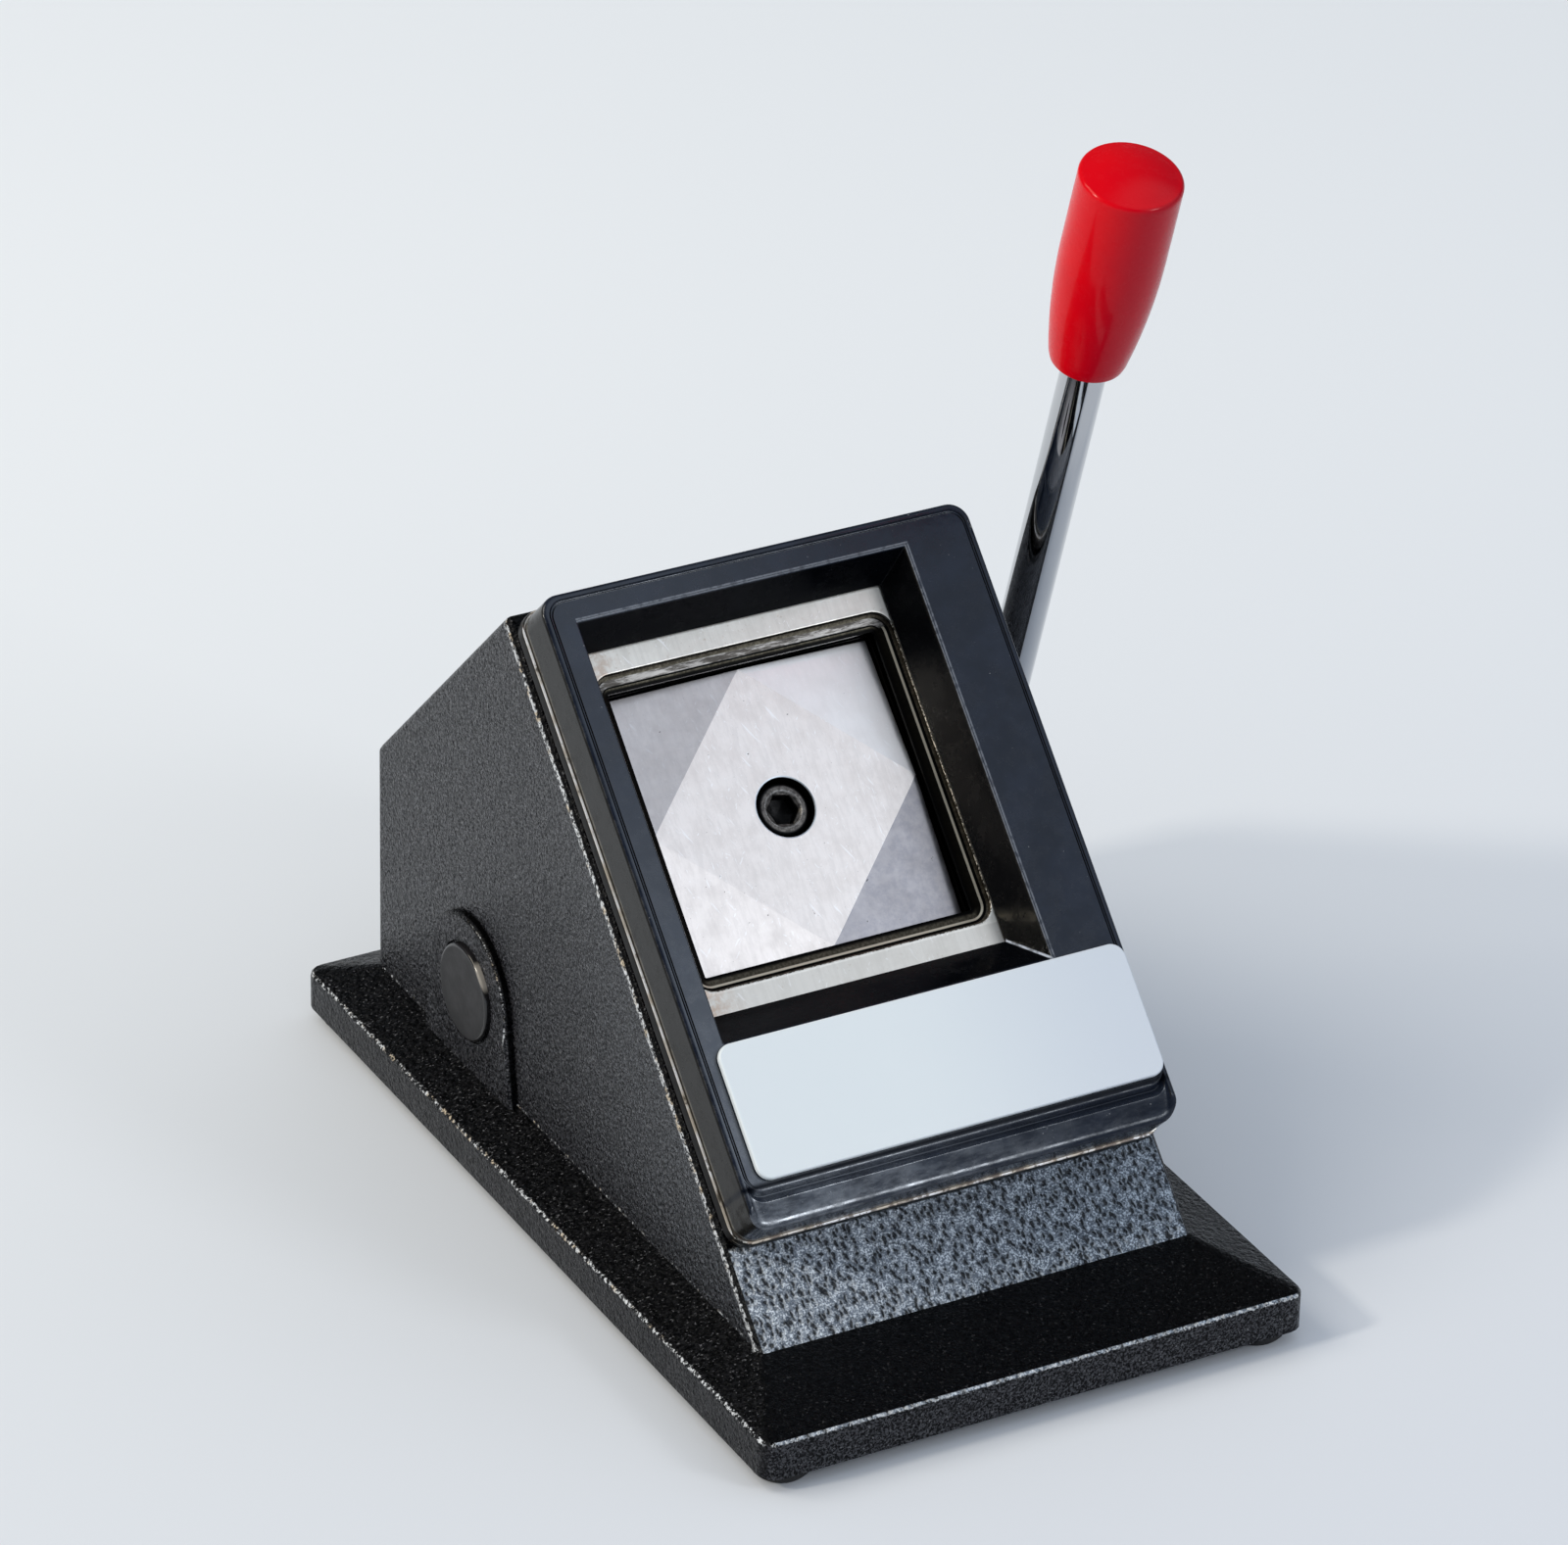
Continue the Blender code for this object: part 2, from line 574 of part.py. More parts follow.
def make_casting(mat, root, face):
    """Body and base in one casting: walls, pads, inner bosses and all its holes."""
    body = finish("body_casting", prism(body_profile(), -BODY_HALF, BODY_HALF, on_yz), mat, root)
    edges = body.modifiers.new("edges", "BEVEL")
    edges.width = BODY_ROUND
    edges.segments = EDGE_STEPS
    edges.limit_method = "ANGLE"
    join(body, base_flange(), root, "flange")
    join(body, merged([rounded_pad(-1), rounded_pad(1)]), root, "pads")
    cut(body, prism(cavity_profile(), -INNER_HALF, INNER_HALF, on_yz), root, "cavity")
    boss = arc((SHAFT_Y, SHAFT_Z), INNER_BOSS_RADIUS, 0, 2 * math.pi * (1 - 1 / ROUND_STEPS),
               ROUND_STEPS - 1)
    join(body, merged([prism(boss, INNER_BOSS_FACE, INNER_HALF + EMBED, on_yz),
                       prism(boss, -INNER_HALF - EMBED, -INNER_BOSS_FACE, on_yz)]), root, "bosses")
    bore = turned_to_x(rod(BORE_RADIUS, -PAD_FACE - OVERRUN, PAD_FACE + OVERRUN))
    cut(body, moved(bore, (0, SHAFT_Y, SHAFT_Z)), root, "shaft_bore")
    ring = turned_to_x(rod(CAP_RADIUS + CAP_RING, -PAD_FACE - OVERRUN, CAP_RECESS - PAD_FACE,
                           FINE_STEPS))
    cut(body, moved(ring, (0, SHAFT_Y, SHAFT_Z)), root, "cap_recess")
    recess = square(0, 0, COVER_HALF_X + SEAT, COVER_HALF_Y + SEAT, COVER_CORNER)
    cut(body, prism(recess, FOOT_HEIGHT - OVERRUN, FOOT_HEIGHT + COVER_THICKNESS + SEAT),
        root, "cover_recess")
    top = FOOT_HEIGHT + SCREW_SUNK + COVER_SCREW_LENGTH + SEAT
    holes = [moved(rod(COVER_SCREW_RADIUS + SEAT, FOOT_HEIGHT, top, SMALL_STEPS), (x, y, 0))
             for x, y in cover_screw_places().values()]
    stem_top = FOOT_HEIGHT + FOOT_STEM_LENGTH + SEAT
    holes += [moved(rod(FOOT_STEM_RADIUS + SEAT, FOOT_HEIGHT - OVERRUN, stem_top, SMALL_STEPS),
                    (x, y, 0)) for x, y in foot_places().values()]
    cut(body, merged(holes), root, "base_holes")
    pocket = square(PUNCH_CENTRE_U, PUNCH_CENTRE_V, GUIDE_HALF_U + SEAT, GUIDE_HALF_V + SEAT, SEAT,
                    TIGHT_STEPS)
    cut(body, prism(pocket, -GUIDE_THICKNESS - SEAT, OVERRUN), face, "guide_pocket")
    clear_half = CUT_HALF + SEAT
    shaft_hole = square(PUNCH_CENTRE_U, PUNCH_CENTRE_V, clear_half, clear_half, SEAT, TIGHT_STEPS)
    cut(body, prism(shaft_hole, -FACE_WALL - OVERRUN, 0), face, "punch_hole")
    tools = [moved(rod(BEZEL_SCREW_RADIUS + SEAT, -FACE_WALL - OVERRUN, OVERRUN, SMALL_STEPS),
                   (u, v, 0)) for u, v in bezel_screw_places().values()]
    tools += [moved(rod(PLATE_SCREW_RADIUS + SEAT, -PLATE_SCREW_LENGTH - SCREW_SUNK - SEAT,
                        -GUIDE_THICKNESS, SMALL_STEPS), (u, v, 0))
              for u, v in guide_screw_places().values()]
    thread_end = -FACE_WALL - SEAT + GUIDE_THREAD_LENGTH + SEAT
    tools += [moved(rod(GUIDE_THREAD_RADIUS + SEAT, -FACE_WALL - OVERRUN, thread_end, SMALL_STEPS),
                    (PUNCH_CENTRE_U, v, 0)) for v in GUIDE_V]
    cut(body, merged(tools), face, "face_holes")


def make_bottom_cover(steel, screw, root):
    """Sheet cover under the base, with four countersunk screws."""
    outline = square(0, 0, COVER_HALF_X, COVER_HALF_Y, COVER_CORNER)
    cover = finish("bottom_cover", prism(outline, FOOT_HEIGHT, FOOT_HEIGHT + COVER_THICKNESS),
                   steel, root)
    level = FOOT_HEIGHT + SCREW_SUNK
    holes = []
    for name, (x, y) in cover_screw_places().items():
        shape = sunk_screw(COVER_SCREW_HEAD_RADIUS, COVER_SCREW_RADIUS, COVER_SCREW_LENGTH)
        finish(name, flipped(shape), screw, root, (x, y, level))
        hole = sunk_screw_hole(COVER_SCREW_HEAD_RADIUS, COVER_SCREW_RADIUS, COVER_SCREW_LENGTH)
        holes.append(moved(flipped(hole), (x, y, level)))
    cut(cover, merged(holes), root, "screw_holes")


def make_feet(rubber, root):
    """Four push-in rubber feet."""
    top = FOOT_HEIGHT - SEAT
    stem = FOOT_HEIGHT + FOOT_STEM_LENGTH
    profile = [(0, 0), (FOOT_RADIUS - FOOT_ROUND, 0), (FOOT_RADIUS, FOOT_ROUND), (FOOT_RADIUS, top),
               (FOOT_STEM_RADIUS, top), (FOOT_STEM_RADIUS, stem), (0, stem)]
    for name, (x, y) in foot_places().items():
        finish(name, revolve(profile, ROUND_STEPS), rubber, root, (x, y, 0))


def make_guide_plate(steel, screw, face):
    """Hardened plate let into the face, which guides the punch and carries the photo."""
    outline = square(PUNCH_CENTRE_U, PUNCH_CENTRE_V, GUIDE_HALF_U, GUIDE_HALF_V, SEAT, TIGHT_STEPS)
    plate = finish("guide_plate", prism(outline, -GUIDE_THICKNESS, 0), steel, face)
    hole = square(PUNCH_CENTRE_U, PUNCH_CENTRE_V, CUT_HALF, CUT_HALF, CUT_CORNER, TIGHT_STEPS)
    cut(plate, prism(hole, -GUIDE_THICKNESS - OVERRUN, OVERRUN), face, "punch_hole")
    sizes = (PLATE_SCREW_HEAD_RADIUS, PLATE_SCREW_RADIUS, PLATE_SCREW_LENGTH)
    holes = []
    for name, (u, v) in guide_screw_places().items():
        place = (u, v, -SCREW_SUNK)
        finish(name, sunk_screw(*sizes), screw, face, place)
        holes.append(moved(sunk_screw_hole(*sizes), place))
    cut(plate, merged(holes), face, "screw_holes")


def make_spacers(steel, face):
    """Two strips that hold the die above the guide plate and leave the photo slot open."""
    half = BEZEL_HALF - SPACER_INSET
    window_low = PUNCH_CENTRE_V - WINDOW_HALF_V
    window_high = PUNCH_CENTRE_V + WINDOW_HALF_V
    spans = {"spacer_lower": (BEZEL_BOTTOM + SPACER_INSET, window_low - SPACER_INSET),
             "spacer_upper": (window_high + SEAT, BEZEL_TOP - SPACER_INSET)}
    for name, (low, high) in spans.items():
        outline = rounded(-half, half, low, high, SPACER_INSET / 2, TIGHT_STEPS)
        strip = finish(name, prism(outline, SPACER_BOTTOM, SPACER_BOTTOM + SPACER_THICKNESS),
                       steel, face)
        holes = [moved(rod(BEZEL_SCREW_RADIUS + SEAT, 0, BEZEL_BACK, SMALL_STEPS), (u, v, 0))
                 for u, v in bezel_screw_places().values() if low < v < high]
        cut(strip, merged(holes), face, "screw_holes")


def make_die_plate(steel, face):
    """Die plate: cutting land, sloping ledge and straight relief with rounded corners."""
    outline = rounded(-BODY_HALF, BODY_HALF, BEZEL_BOTTOM - DIE_LIP, BEZEL_TOP + DIE_LIP,
                      BEZEL_CORNER + DIE_LIP)
    plate = finish("die_plate", prism(outline, DIE_BOTTOM, DIE_TOP), steel, face)
    land = DIE_BOTTOM + CUTTING_LAND
    stations = ((CUT_HALF, CUT_CORNER, DIE_BOTTOM - OVERRUN), (CUT_HALF, CUT_CORNER, land),
                (RELIEF_HALF, RELIEF_CORNER, land + RELIEF_SLOPE),
                (RELIEF_HALF, RELIEF_CORNER, DIE_TOP + OVERRUN))
    loops = [at_height(square(PUNCH_CENTRE_U, PUNCH_CENTRE_V, half_hole, half_hole, corner), height)
             for half_hole, corner, height in stations]
    cut(plate, loft(loops), face, "opening")
    holes = [moved(rod(BEZEL_SCREW_RADIUS + SEAT, DIE_BOTTOM - OVERRUN, DIE_TOP + OVERRUN,
                       SMALL_STEPS), (u, v, 0)) for u, v in bezel_screw_places().values()]
    cut(plate, merged(holes), face, "screw_holes")


def make_bezel(plastic, screw, face):
    """Moulded window frame with mitred bevels, held by four screws from inside."""
    half = BEZEL_HALF
    loops = [at_height(rounded(-half, half, BEZEL_BOTTOM, BEZEL_TOP, BEZEL_CORNER), BEZEL_BACK)]
    for i in range(EDGE_STEPS + 1):
        turn = i / EDGE_STEPS * math.pi / 2
        inset = BEZEL_ROUND * (1 - math.cos(turn))
        drop = BEZEL_ROUND * (1 - math.sin(turn))
        band = 1 - math.cos(turn)
        outline = rounded(-half + inset, half - inset, BEZEL_BOTTOM + BEZEL_BAND * band,
                          BEZEL_TOP - inset, BEZEL_CORNER - inset)
        deep = BEZEL_BAND_DROP * (1 - band)
        loops.append([(u, v, BEZEL_FRONT - (deep if v < PUNCH_CENTRE_V else drop))
                      for u, v in outline])
    bezel = finish("bezel", loft(loops), plastic, face)
    cut(bezel, window_cutter(), face, "window")
    bite = BEZEL_BACK + BEZEL_SCREW_BITE
    holes = [moved(rod(BEZEL_SCREW_RADIUS + SEAT, BEZEL_BACK - OVERRUN, bite + SEAT, SMALL_STEPS),
                   (u, v, 0)) for u, v in bezel_screw_places().values()]
    cut(bezel, merged(holes), face, "screw_holes")
    head = -FACE_WALL - SEAT
    profile = [(0, head - BEZEL_SCREW_HEAD), (BEZEL_SCREW_HEAD_RADIUS, head - BEZEL_SCREW_HEAD),
               (BEZEL_SCREW_HEAD_RADIUS, head), (BEZEL_SCREW_RADIUS, head),
               (BEZEL_SCREW_RADIUS, bite), (0, bite)]
    for name, (u, v) in bezel_screw_places().items():
        finish(name, revolve(profile, SMALL_STEPS), screw, face, (u, v, 0))


def window_cutter():
    """Four-sided funnel: the window's back opening, widening to the front."""
    def bounds(height):
        share = (height - BEZEL_BACK) / BEZEL_THICKNESS
        side = WINDOW_HALF_U + WINDOW_SIDE_BEVEL * share
        low = PUNCH_CENTRE_V - WINDOW_HALF_V - WINDOW_BOTTOM_BEVEL * share
        high = PUNCH_CENTRE_V + WINDOW_HALF_V + WINDOW_TOP_BEVEL * share
        left, right = PUNCH_CENTRE_U - side, PUNCH_CENTRE_U + side
        return [(left, low, height), (right, low, height), (right, high, height),
                (left, high, height)]
    return loft([bounds(BEZEL_BACK - OVERRUN), bounds(BEZEL_FRONT + OVERRUN)])


def make_label_plate(plastic, face):
    """Bare plate on the lower rail of the bezel."""
    outline = rounded(LABEL_LEFT - BEZEL_HALF, BEZEL_HALF - LABEL_RIGHT,
                      BEZEL_BOTTOM + LABEL_BOTTOM, WINDOW_BOTTOM - LABEL_DROP, LABEL_CORNER)
    low = BEZEL_FRONT + SEAT
    finish("label_plate", prism(outline, low, low + LABEL_THICKNESS), plastic, face)


def punch_block():
    """Square block whose face is a flat diamond with four corners ground away."""
    half = PUNCH_SIDE / 2
    bm = bmesh.new()
    ring = [(half, -half), (half, 0), (half, half), (0, half), (-half, half), (-half, 0),
            (-half, -half), (0, -half)]
    corners = ring[0::2]
    low = [bm.verts.new((u, v, -PUNCH_HEIGHT)) for u, v in corners]
    top = [bm.verts.new((u, v, -SHEAR_DROP if (u, v) in corners else 0)) for u, v in ring]
    bm.faces.new(low)
    bm.faces.new(top[1::2])
    for i in range(len(corners)):
        j = (i + 1) % len(corners)
        side = (low[i], low[j], top[2 * j], top[2 * i + 1], top[2 * i])
        bm.faces.new(side)
        bm.faces.new((top[2 * i - 1], top[2 * i], top[2 * i + 1]))
    return bm


def make_punch(steel, black, punch_frame):
    """Punch with its counterbored socket screw, centred on the slide's line."""
    punch = finish("punch", punch_block(), steel, punch_frame, smooth=False)
    seat_level = -PUNCH_SCREW_SUNK - PUNCH_SCREW_HEAD
    bore = PUNCH_SCREW_RADIUS + SEAT
    counterbore = PUNCH_SCREW_HEAD_RADIUS + SEAT
    profile = [(0, OVERRUN), (counterbore, OVERRUN), (counterbore, seat_level - SEAT),
               (bore, seat_level - SEAT), (bore, -PUNCH_HEIGHT - OVERRUN),
               (0, -PUNCH_HEIGHT - OVERRUN)]
    cut(punch, revolve(profile, ROUND_STEPS), punch_frame, "counterbore")
    head, level = PUNCH_SCREW_HEAD_RADIUS, -PUNCH_SCREW_SUNK
    profile = [(0, level), (head - PUNCH_SCREW_ROUND, level), (head, level - PUNCH_SCREW_ROUND),
               (head, seat_level), (PUNCH_SCREW_RADIUS, seat_level),
               (PUNCH_SCREW_RADIUS, seat_level - PUNCH_SCREW_LENGTH),
               (0, seat_level - PUNCH_SCREW_LENGTH)]
    screw = finish("punch_screw", revolve(profile, ROUND_STEPS), black, punch_frame)
    socket = prism(hexagon(PUNCH_SOCKET_RADIUS), level - PUNCH_SOCKET_DEPTH, OVERRUN)
    cut(screw, socket, punch_frame, "socket")


def make_ram(iron, bronze, punch_frame):
    """T-shaped slider: a cross bar on two guide bushes and a stem that meets the cam."""
    stem = RAM_STEM / 2
    outline = [(-stem, RAM_FOOT), (stem, RAM_FOOT), (stem, RAM_BOTTOM), (RAM_HALF, RAM_BOTTOM),
               (RAM_HALF, RAM_TOP), (-RAM_HALF, RAM_TOP), (-RAM_HALF, RAM_BOTTOM),
               (-stem, RAM_BOTTOM)]
    ram = finish("ram", prism(outline, -RAM_WIDTH / 2, RAM_WIDTH / 2, on_yz), iron, punch_frame,
                 smooth=False)
    holes = [moved(rod(RAM_HOLE_RADIUS, RAM_BOTTOM - OVERRUN, RAM_TOP + OVERRUN),
                   (0, side * GUIDE_REACH, 0)) for side in (-1, 1)]
    end = -PUNCH_SCREW_SUNK - PUNCH_SCREW_HEAD - PUNCH_SCREW_LENGTH - SEAT
    holes.append(rod(PUNCH_SCREW_RADIUS + SEAT, end, RAM_TOP + OVERRUN))
    cut(ram, merged(holes), punch_frame, "holes")
    for name, side in (("lower", -1), ("upper", 1)):
        finish(f"ram_bush_{name}", tube(RAM_BUSH_BORE, RAM_BUSH_RADIUS, RAM_BOTTOM, RAM_TOP),
               bronze, punch_frame, (0, side * GUIDE_REACH, 0))


def coil(radius, wire, low, high, turns):
    """A compression spring as one unbroken tube; prints its least gap to itself."""
    count = int(turns * TURN_POINTS)
    start, rise = low + wire, high - low - 2 * wire
    pitch = rise / turns
    print("spring gap between turns (mm):", round((pitch - 2 * wire) / MM, 3))
    lead = math.atan2(pitch, 2 * math.pi * radius)
    loops = []
    for i in range(count + 1):
        turn = 2 * math.pi * turns * i / count
        out = Vector((math.cos(turn), math.sin(turn), 0))
        along = Vector((-math.sin(turn) * math.cos(lead), math.cos(turn) * math.cos(lead),
                        math.sin(lead)))
        up = along.cross(out)
        centre = out * radius + Vector((0, 0, start + rise * i / count))
        ring = []
        for k in range(WIRE_SIDES):
            angle = 2 * math.pi * k / WIRE_SIDES
            ring.append(centre + (out * math.cos(angle) + up * math.sin(angle)) * wire)
        loops.append(ring)
    return loft(loops)


def make_guides(steel, spring_steel, face):
    """Two shoulder bolts hung from the face wall, each inside its return spring."""
    shoulder = -FACE_WALL - SEAT
    seat_level = RAM_BOTTOM - SEAT
    thread_end = shoulder + GUIDE_THREAD_LENGTH
    head_end = seat_level - GUIDE_HEAD_HEIGHT
    profile = [(0, head_end), (GUIDE_HEAD_RADIUS, head_end), (GUIDE_HEAD_RADIUS, seat_level),
               (GUIDE_BOLT_RADIUS, seat_level), (GUIDE_BOLT_RADIUS, shoulder),
               (GUIDE_THREAD_RADIUS, shoulder), (GUIDE_THREAD_RADIUS, thread_end), (0, thread_end)]
    spring_low, spring_high = RAM_TOP + SEAT, -FACE_WALL - SEAT
    for name, v in zip(("lower", "upper"), GUIDE_V):
        place = (PUNCH_CENTRE_U, v, 0)
        bolt = finish(f"guide_bolt_{name}", revolve(profile, ROUND_STEPS), steel, face, place)
        socket = moved(prism(hexagon(GUIDE_SOCKET_RADIUS), head_end - OVERRUN,
                             head_end + GUIDE_SOCKET_DEPTH), place)
        cut(bolt, socket, face, "socket")
        spring = coil(SPRING_RADIUS, SPRING_WIRE_RADIUS, spring_low, spring_high, SPRING_TURNS)
        finish(f"return_spring_{name}", spring, spring_steel, face, place)


def make_shaft_line(steel, bronze, plastic, clip_steel, shaft_frame):
    """Cross shaft, its two bushes, the left end cap, the clip and the thrust washer."""
    def on_shaft(name, shape, mat):
        return finish(name, turned_to_x(shape), mat, shaft_frame)

    cap_seat = CAP_RECESS - PAD_FACE
    cap_in = cap_seat + CAP_SPIGOT
    left_bush = (cap_in + SEAT, -INNER_BOSS_FACE)
    shaft_end = left_bush[0] + SEAT
    clip = (left_bush[1] + SEAT, left_bush[1] + SEAT + CLIP_WIDTH)
    groove = SHAFT_RADIUS - CLIP_GROOVE
    profile = [(0, shaft_end), (SHAFT_RADIUS, shaft_end), (SHAFT_RADIUS, clip[0] - SEAT),
               (groove, clip[0] - SEAT), (groove, clip[1] + SEAT), (SHAFT_RADIUS, clip[1] + SEAT),
               (SHAFT_RADIUS, HUB_END - HUB_ROUND), (0, HUB_END - HUB_ROUND)]
    on_shaft("cross_shaft", revolve(profile, ROUND_STEPS), steel)
    bore = SHAFT_RADIUS + RUNNING
    on_shaft("bush_left", tube(bore, BUSH_RADIUS, *left_bush), bronze)
    flange = PAD_FACE + SEAT
    profile = [(bore, INNER_BOSS_FACE), (BUSH_RADIUS, INNER_BOSS_FACE), (BUSH_RADIUS, flange),
               (BUSH_FLANGE_RADIUS, flange), (BUSH_FLANGE_RADIUS, flange + BUSH_FLANGE),
               (bore, flange + BUSH_FLANGE)]
    on_shaft("bush_right", revolve(profile, ROUND_STEPS, ring=True), bronze)
    on_shaft("thrust_washer", tube(bore, WASHER_RADIUS, WASHER_FACE, WASHER_FACE + WASHER_THICKNESS),
             steel)
    inner, outer = groove + SEAT, CLIP_RADIUS
    mouth = CLIP_MOUTH / 2
    ring = (arc((0, 0), outer, mouth, 2 * math.pi - mouth, ROUND_STEPS)
            + arc((0, 0), inner, 2 * math.pi - mouth, mouth, ROUND_STEPS))
    on_shaft("shaft_clip", prism(ring, *clip), clip_steel)
    face_out = cap_seat - SEAT - CAP_HEAD
    spigot = BORE_RADIUS - SEAT
    profile = [(0, face_out), (CAP_RADIUS - CAP_ROUND, face_out), (CAP_RADIUS, face_out + CAP_ROUND),
               (CAP_RADIUS, cap_seat - SEAT), (spigot, cap_seat - SEAT), (spigot, cap_in),
               (spigot - CAP_WALL, cap_in), (spigot - CAP_WALL, cap_seat), (0, cap_seat)]
    on_shaft("end_cap", revolve(profile, FINE_STEPS), plastic)


def involute_point(turn):
    """Point of the lobe's flank, in (v, n) about the shaft, that pushes at that turn."""
    reach = CAM_REST_HEIGHT + CAM_BASE * turn
    return (CAM_BASE * math.cos(turn) + reach * math.sin(turn),
            reach * math.cos(turn) - CAM_BASE * math.sin(turn))


def cam_outline():
    """Round hub with an involute lobe: the ram rises CAM_BASE for each radian."""
    start = (math.sqrt(CAM_HUB_RADIUS ** 2 - CAM_BASE ** 2) - CAM_REST_HEIGHT) / CAM_BASE
    end = LEVER_SWING + CAM_MARGIN
    flank = [involute_point(start + (end - start) * i / FLANK_STEPS) for i in range(FLANK_STEPS + 1)]
    tip_radius = math.hypot(*flank[-1])
    tip_angle = math.atan2(flank[-1][1], flank[-1][0]) - CAM_TIP
    tip = (tip_radius * math.cos(tip_angle), tip_radius * math.sin(tip_angle))
    tangent = tip_angle - math.acos(CAM_HUB_RADIUS / tip_radius)
    root_angle = math.atan2(flank[0][1], flank[0][0])
    hub = arc((0, 0), CAM_HUB_RADIUS, tangent, root_angle - 2 * math.pi, ROUND_STEPS)
    return flank + [tip] + hub[:-1]


def make_cam(iron, screw, shaft_frame):
    """Cam clamped on the shaft by a grub screw opposite the lobe."""
    low, high = PUNCH_CENTRE_U - CAM_WIDTH / 2, PUNCH_CENTRE_U + CAM_WIDTH / 2
    tilt = (FACE_ANGLE, 0, 0)
    cam_frame = frame("cam_frame", (0, 0, 0), tilt, shaft_frame)
    cam = finish("cam", prism(cam_outline(), low, high, on_yz), iron, cam_frame)
    bore = turned_to_x(rod(SHAFT_RADIUS + SEAT, low - OVERRUN, high + OVERRUN))
    cut(cam, bore, cam_frame, "bore")
    grub_low, grub_high = -CAM_HUB_RADIUS, -SHAFT_RADIUS - SEAT
    hole = rod(GRUB_RADIUS + SEAT, grub_low - OVERRUN, grub_high + SEAT, SMALL_STEPS)
    cut(cam, moved(hole, (PUNCH_CENTRE_U, 0, 0)), cam_frame, "grub_hole")
    grub = rod(GRUB_RADIUS, grub_low + SEAT, grub_high, SMALL_STEPS)
    finish("cam_grub_screw", moved(grub, (PUNCH_CENTRE_U, 0, 0)), screw, cam_frame)


def grip_radius(share):
    """Grip's radius at a share of its length: a parabola that flattens at the top."""
    left = max(0, 1 - share / GRIP_FULL_SHARE)
    return GRIP_NECK + (GRIP_RADIUS - GRIP_NECK) * (1 - left * left)


def grip_profile():
    """Half outline of the grip from its bored foot round to the top of the dome."""
    bore = ROD_RADIUS + SEAT
    blind = GRIP_START + ROD_IN_GRIP + SEAT
    points = [(0, blind), (bore, blind), (bore, GRIP_START)]
    neck = GRIP_NECK_ROUND
    points += [(GRIP_NECK - neck, GRIP_START), (grip_radius(neck / GRIP_LENGTH), GRIP_START + neck)]
    points += [(grip_radius(i / FLANK_STEPS), GRIP_START + GRIP_LENGTH * i / FLANK_STEPS)
               for i in range(1, FLANK_STEPS)]
    rim = GRIP_RIM_ROUND
    points += arc((GRIP_RADIUS - rim, GRIP_END - rim), rim, 0, math.pi / 2, EDGE_STEPS)
    flat = GRIP_RADIUS - rim
    for i in range(1, CORNER_STEPS):
        share = i / CORNER_STEPS
        points.append((flat * (1 - share), GRIP_END + GRIP_DOME * (1 - (1 - share) ** 2)))
    return points + [(0, GRIP_END + GRIP_DOME)]


def make_lever(steel, chrome, red, screw, shaft_frame):
    """Hub on the shaft's right end, the chrome rod screwed into it and the red grip."""
    lever_frame = frame("lever_frame", (LEVER_OFFSET, 0, 0), (LEVER_LEAN, 0, 0), shaft_frame)
    low, high = HUB_FACE - LEVER_OFFSET, HUB_END - LEVER_OFFSET
    bore = SHAFT_RADIUS + SEAT
    profile = [(bore, low), (HUB_RADIUS - HUB_ROUND, low), (HUB_RADIUS, low + HUB_ROUND),
               (HUB_RADIUS, high - HUB_ROUND), (HUB_RADIUS - HUB_ROUND, high), (bore, high)]
    hub = finish("lever_hub", turned_to_x(revolve(profile, ROUND_STEPS, ring=True)), steel,
                 lever_frame)
    cut(hub, rod(ROD_RADIUS + SEAT, 0, HUB_RADIUS + OVERRUN, SMALL_STEPS), lever_frame, "rod_hole")
    cut(hub, rod(GRUB_RADIUS + SEAT, -HUB_RADIUS - OVERRUN, 0, SMALL_STEPS), lever_frame,
        "grub_hole")
    grub = rod(GRUB_RADIUS, -HUB_RADIUS + SEAT, -bore, SMALL_STEPS)
    finish("hub_grub_screw", grub, screw, lever_frame)
    rod_shape = rod(ROD_RADIUS, bore, GRIP_START + ROD_IN_GRIP)
    finish("lever_rod", rod_shape, chrome, lever_frame)
    finish("grip", revolve(grip_profile(), FINE_STEPS), red, lever_frame)


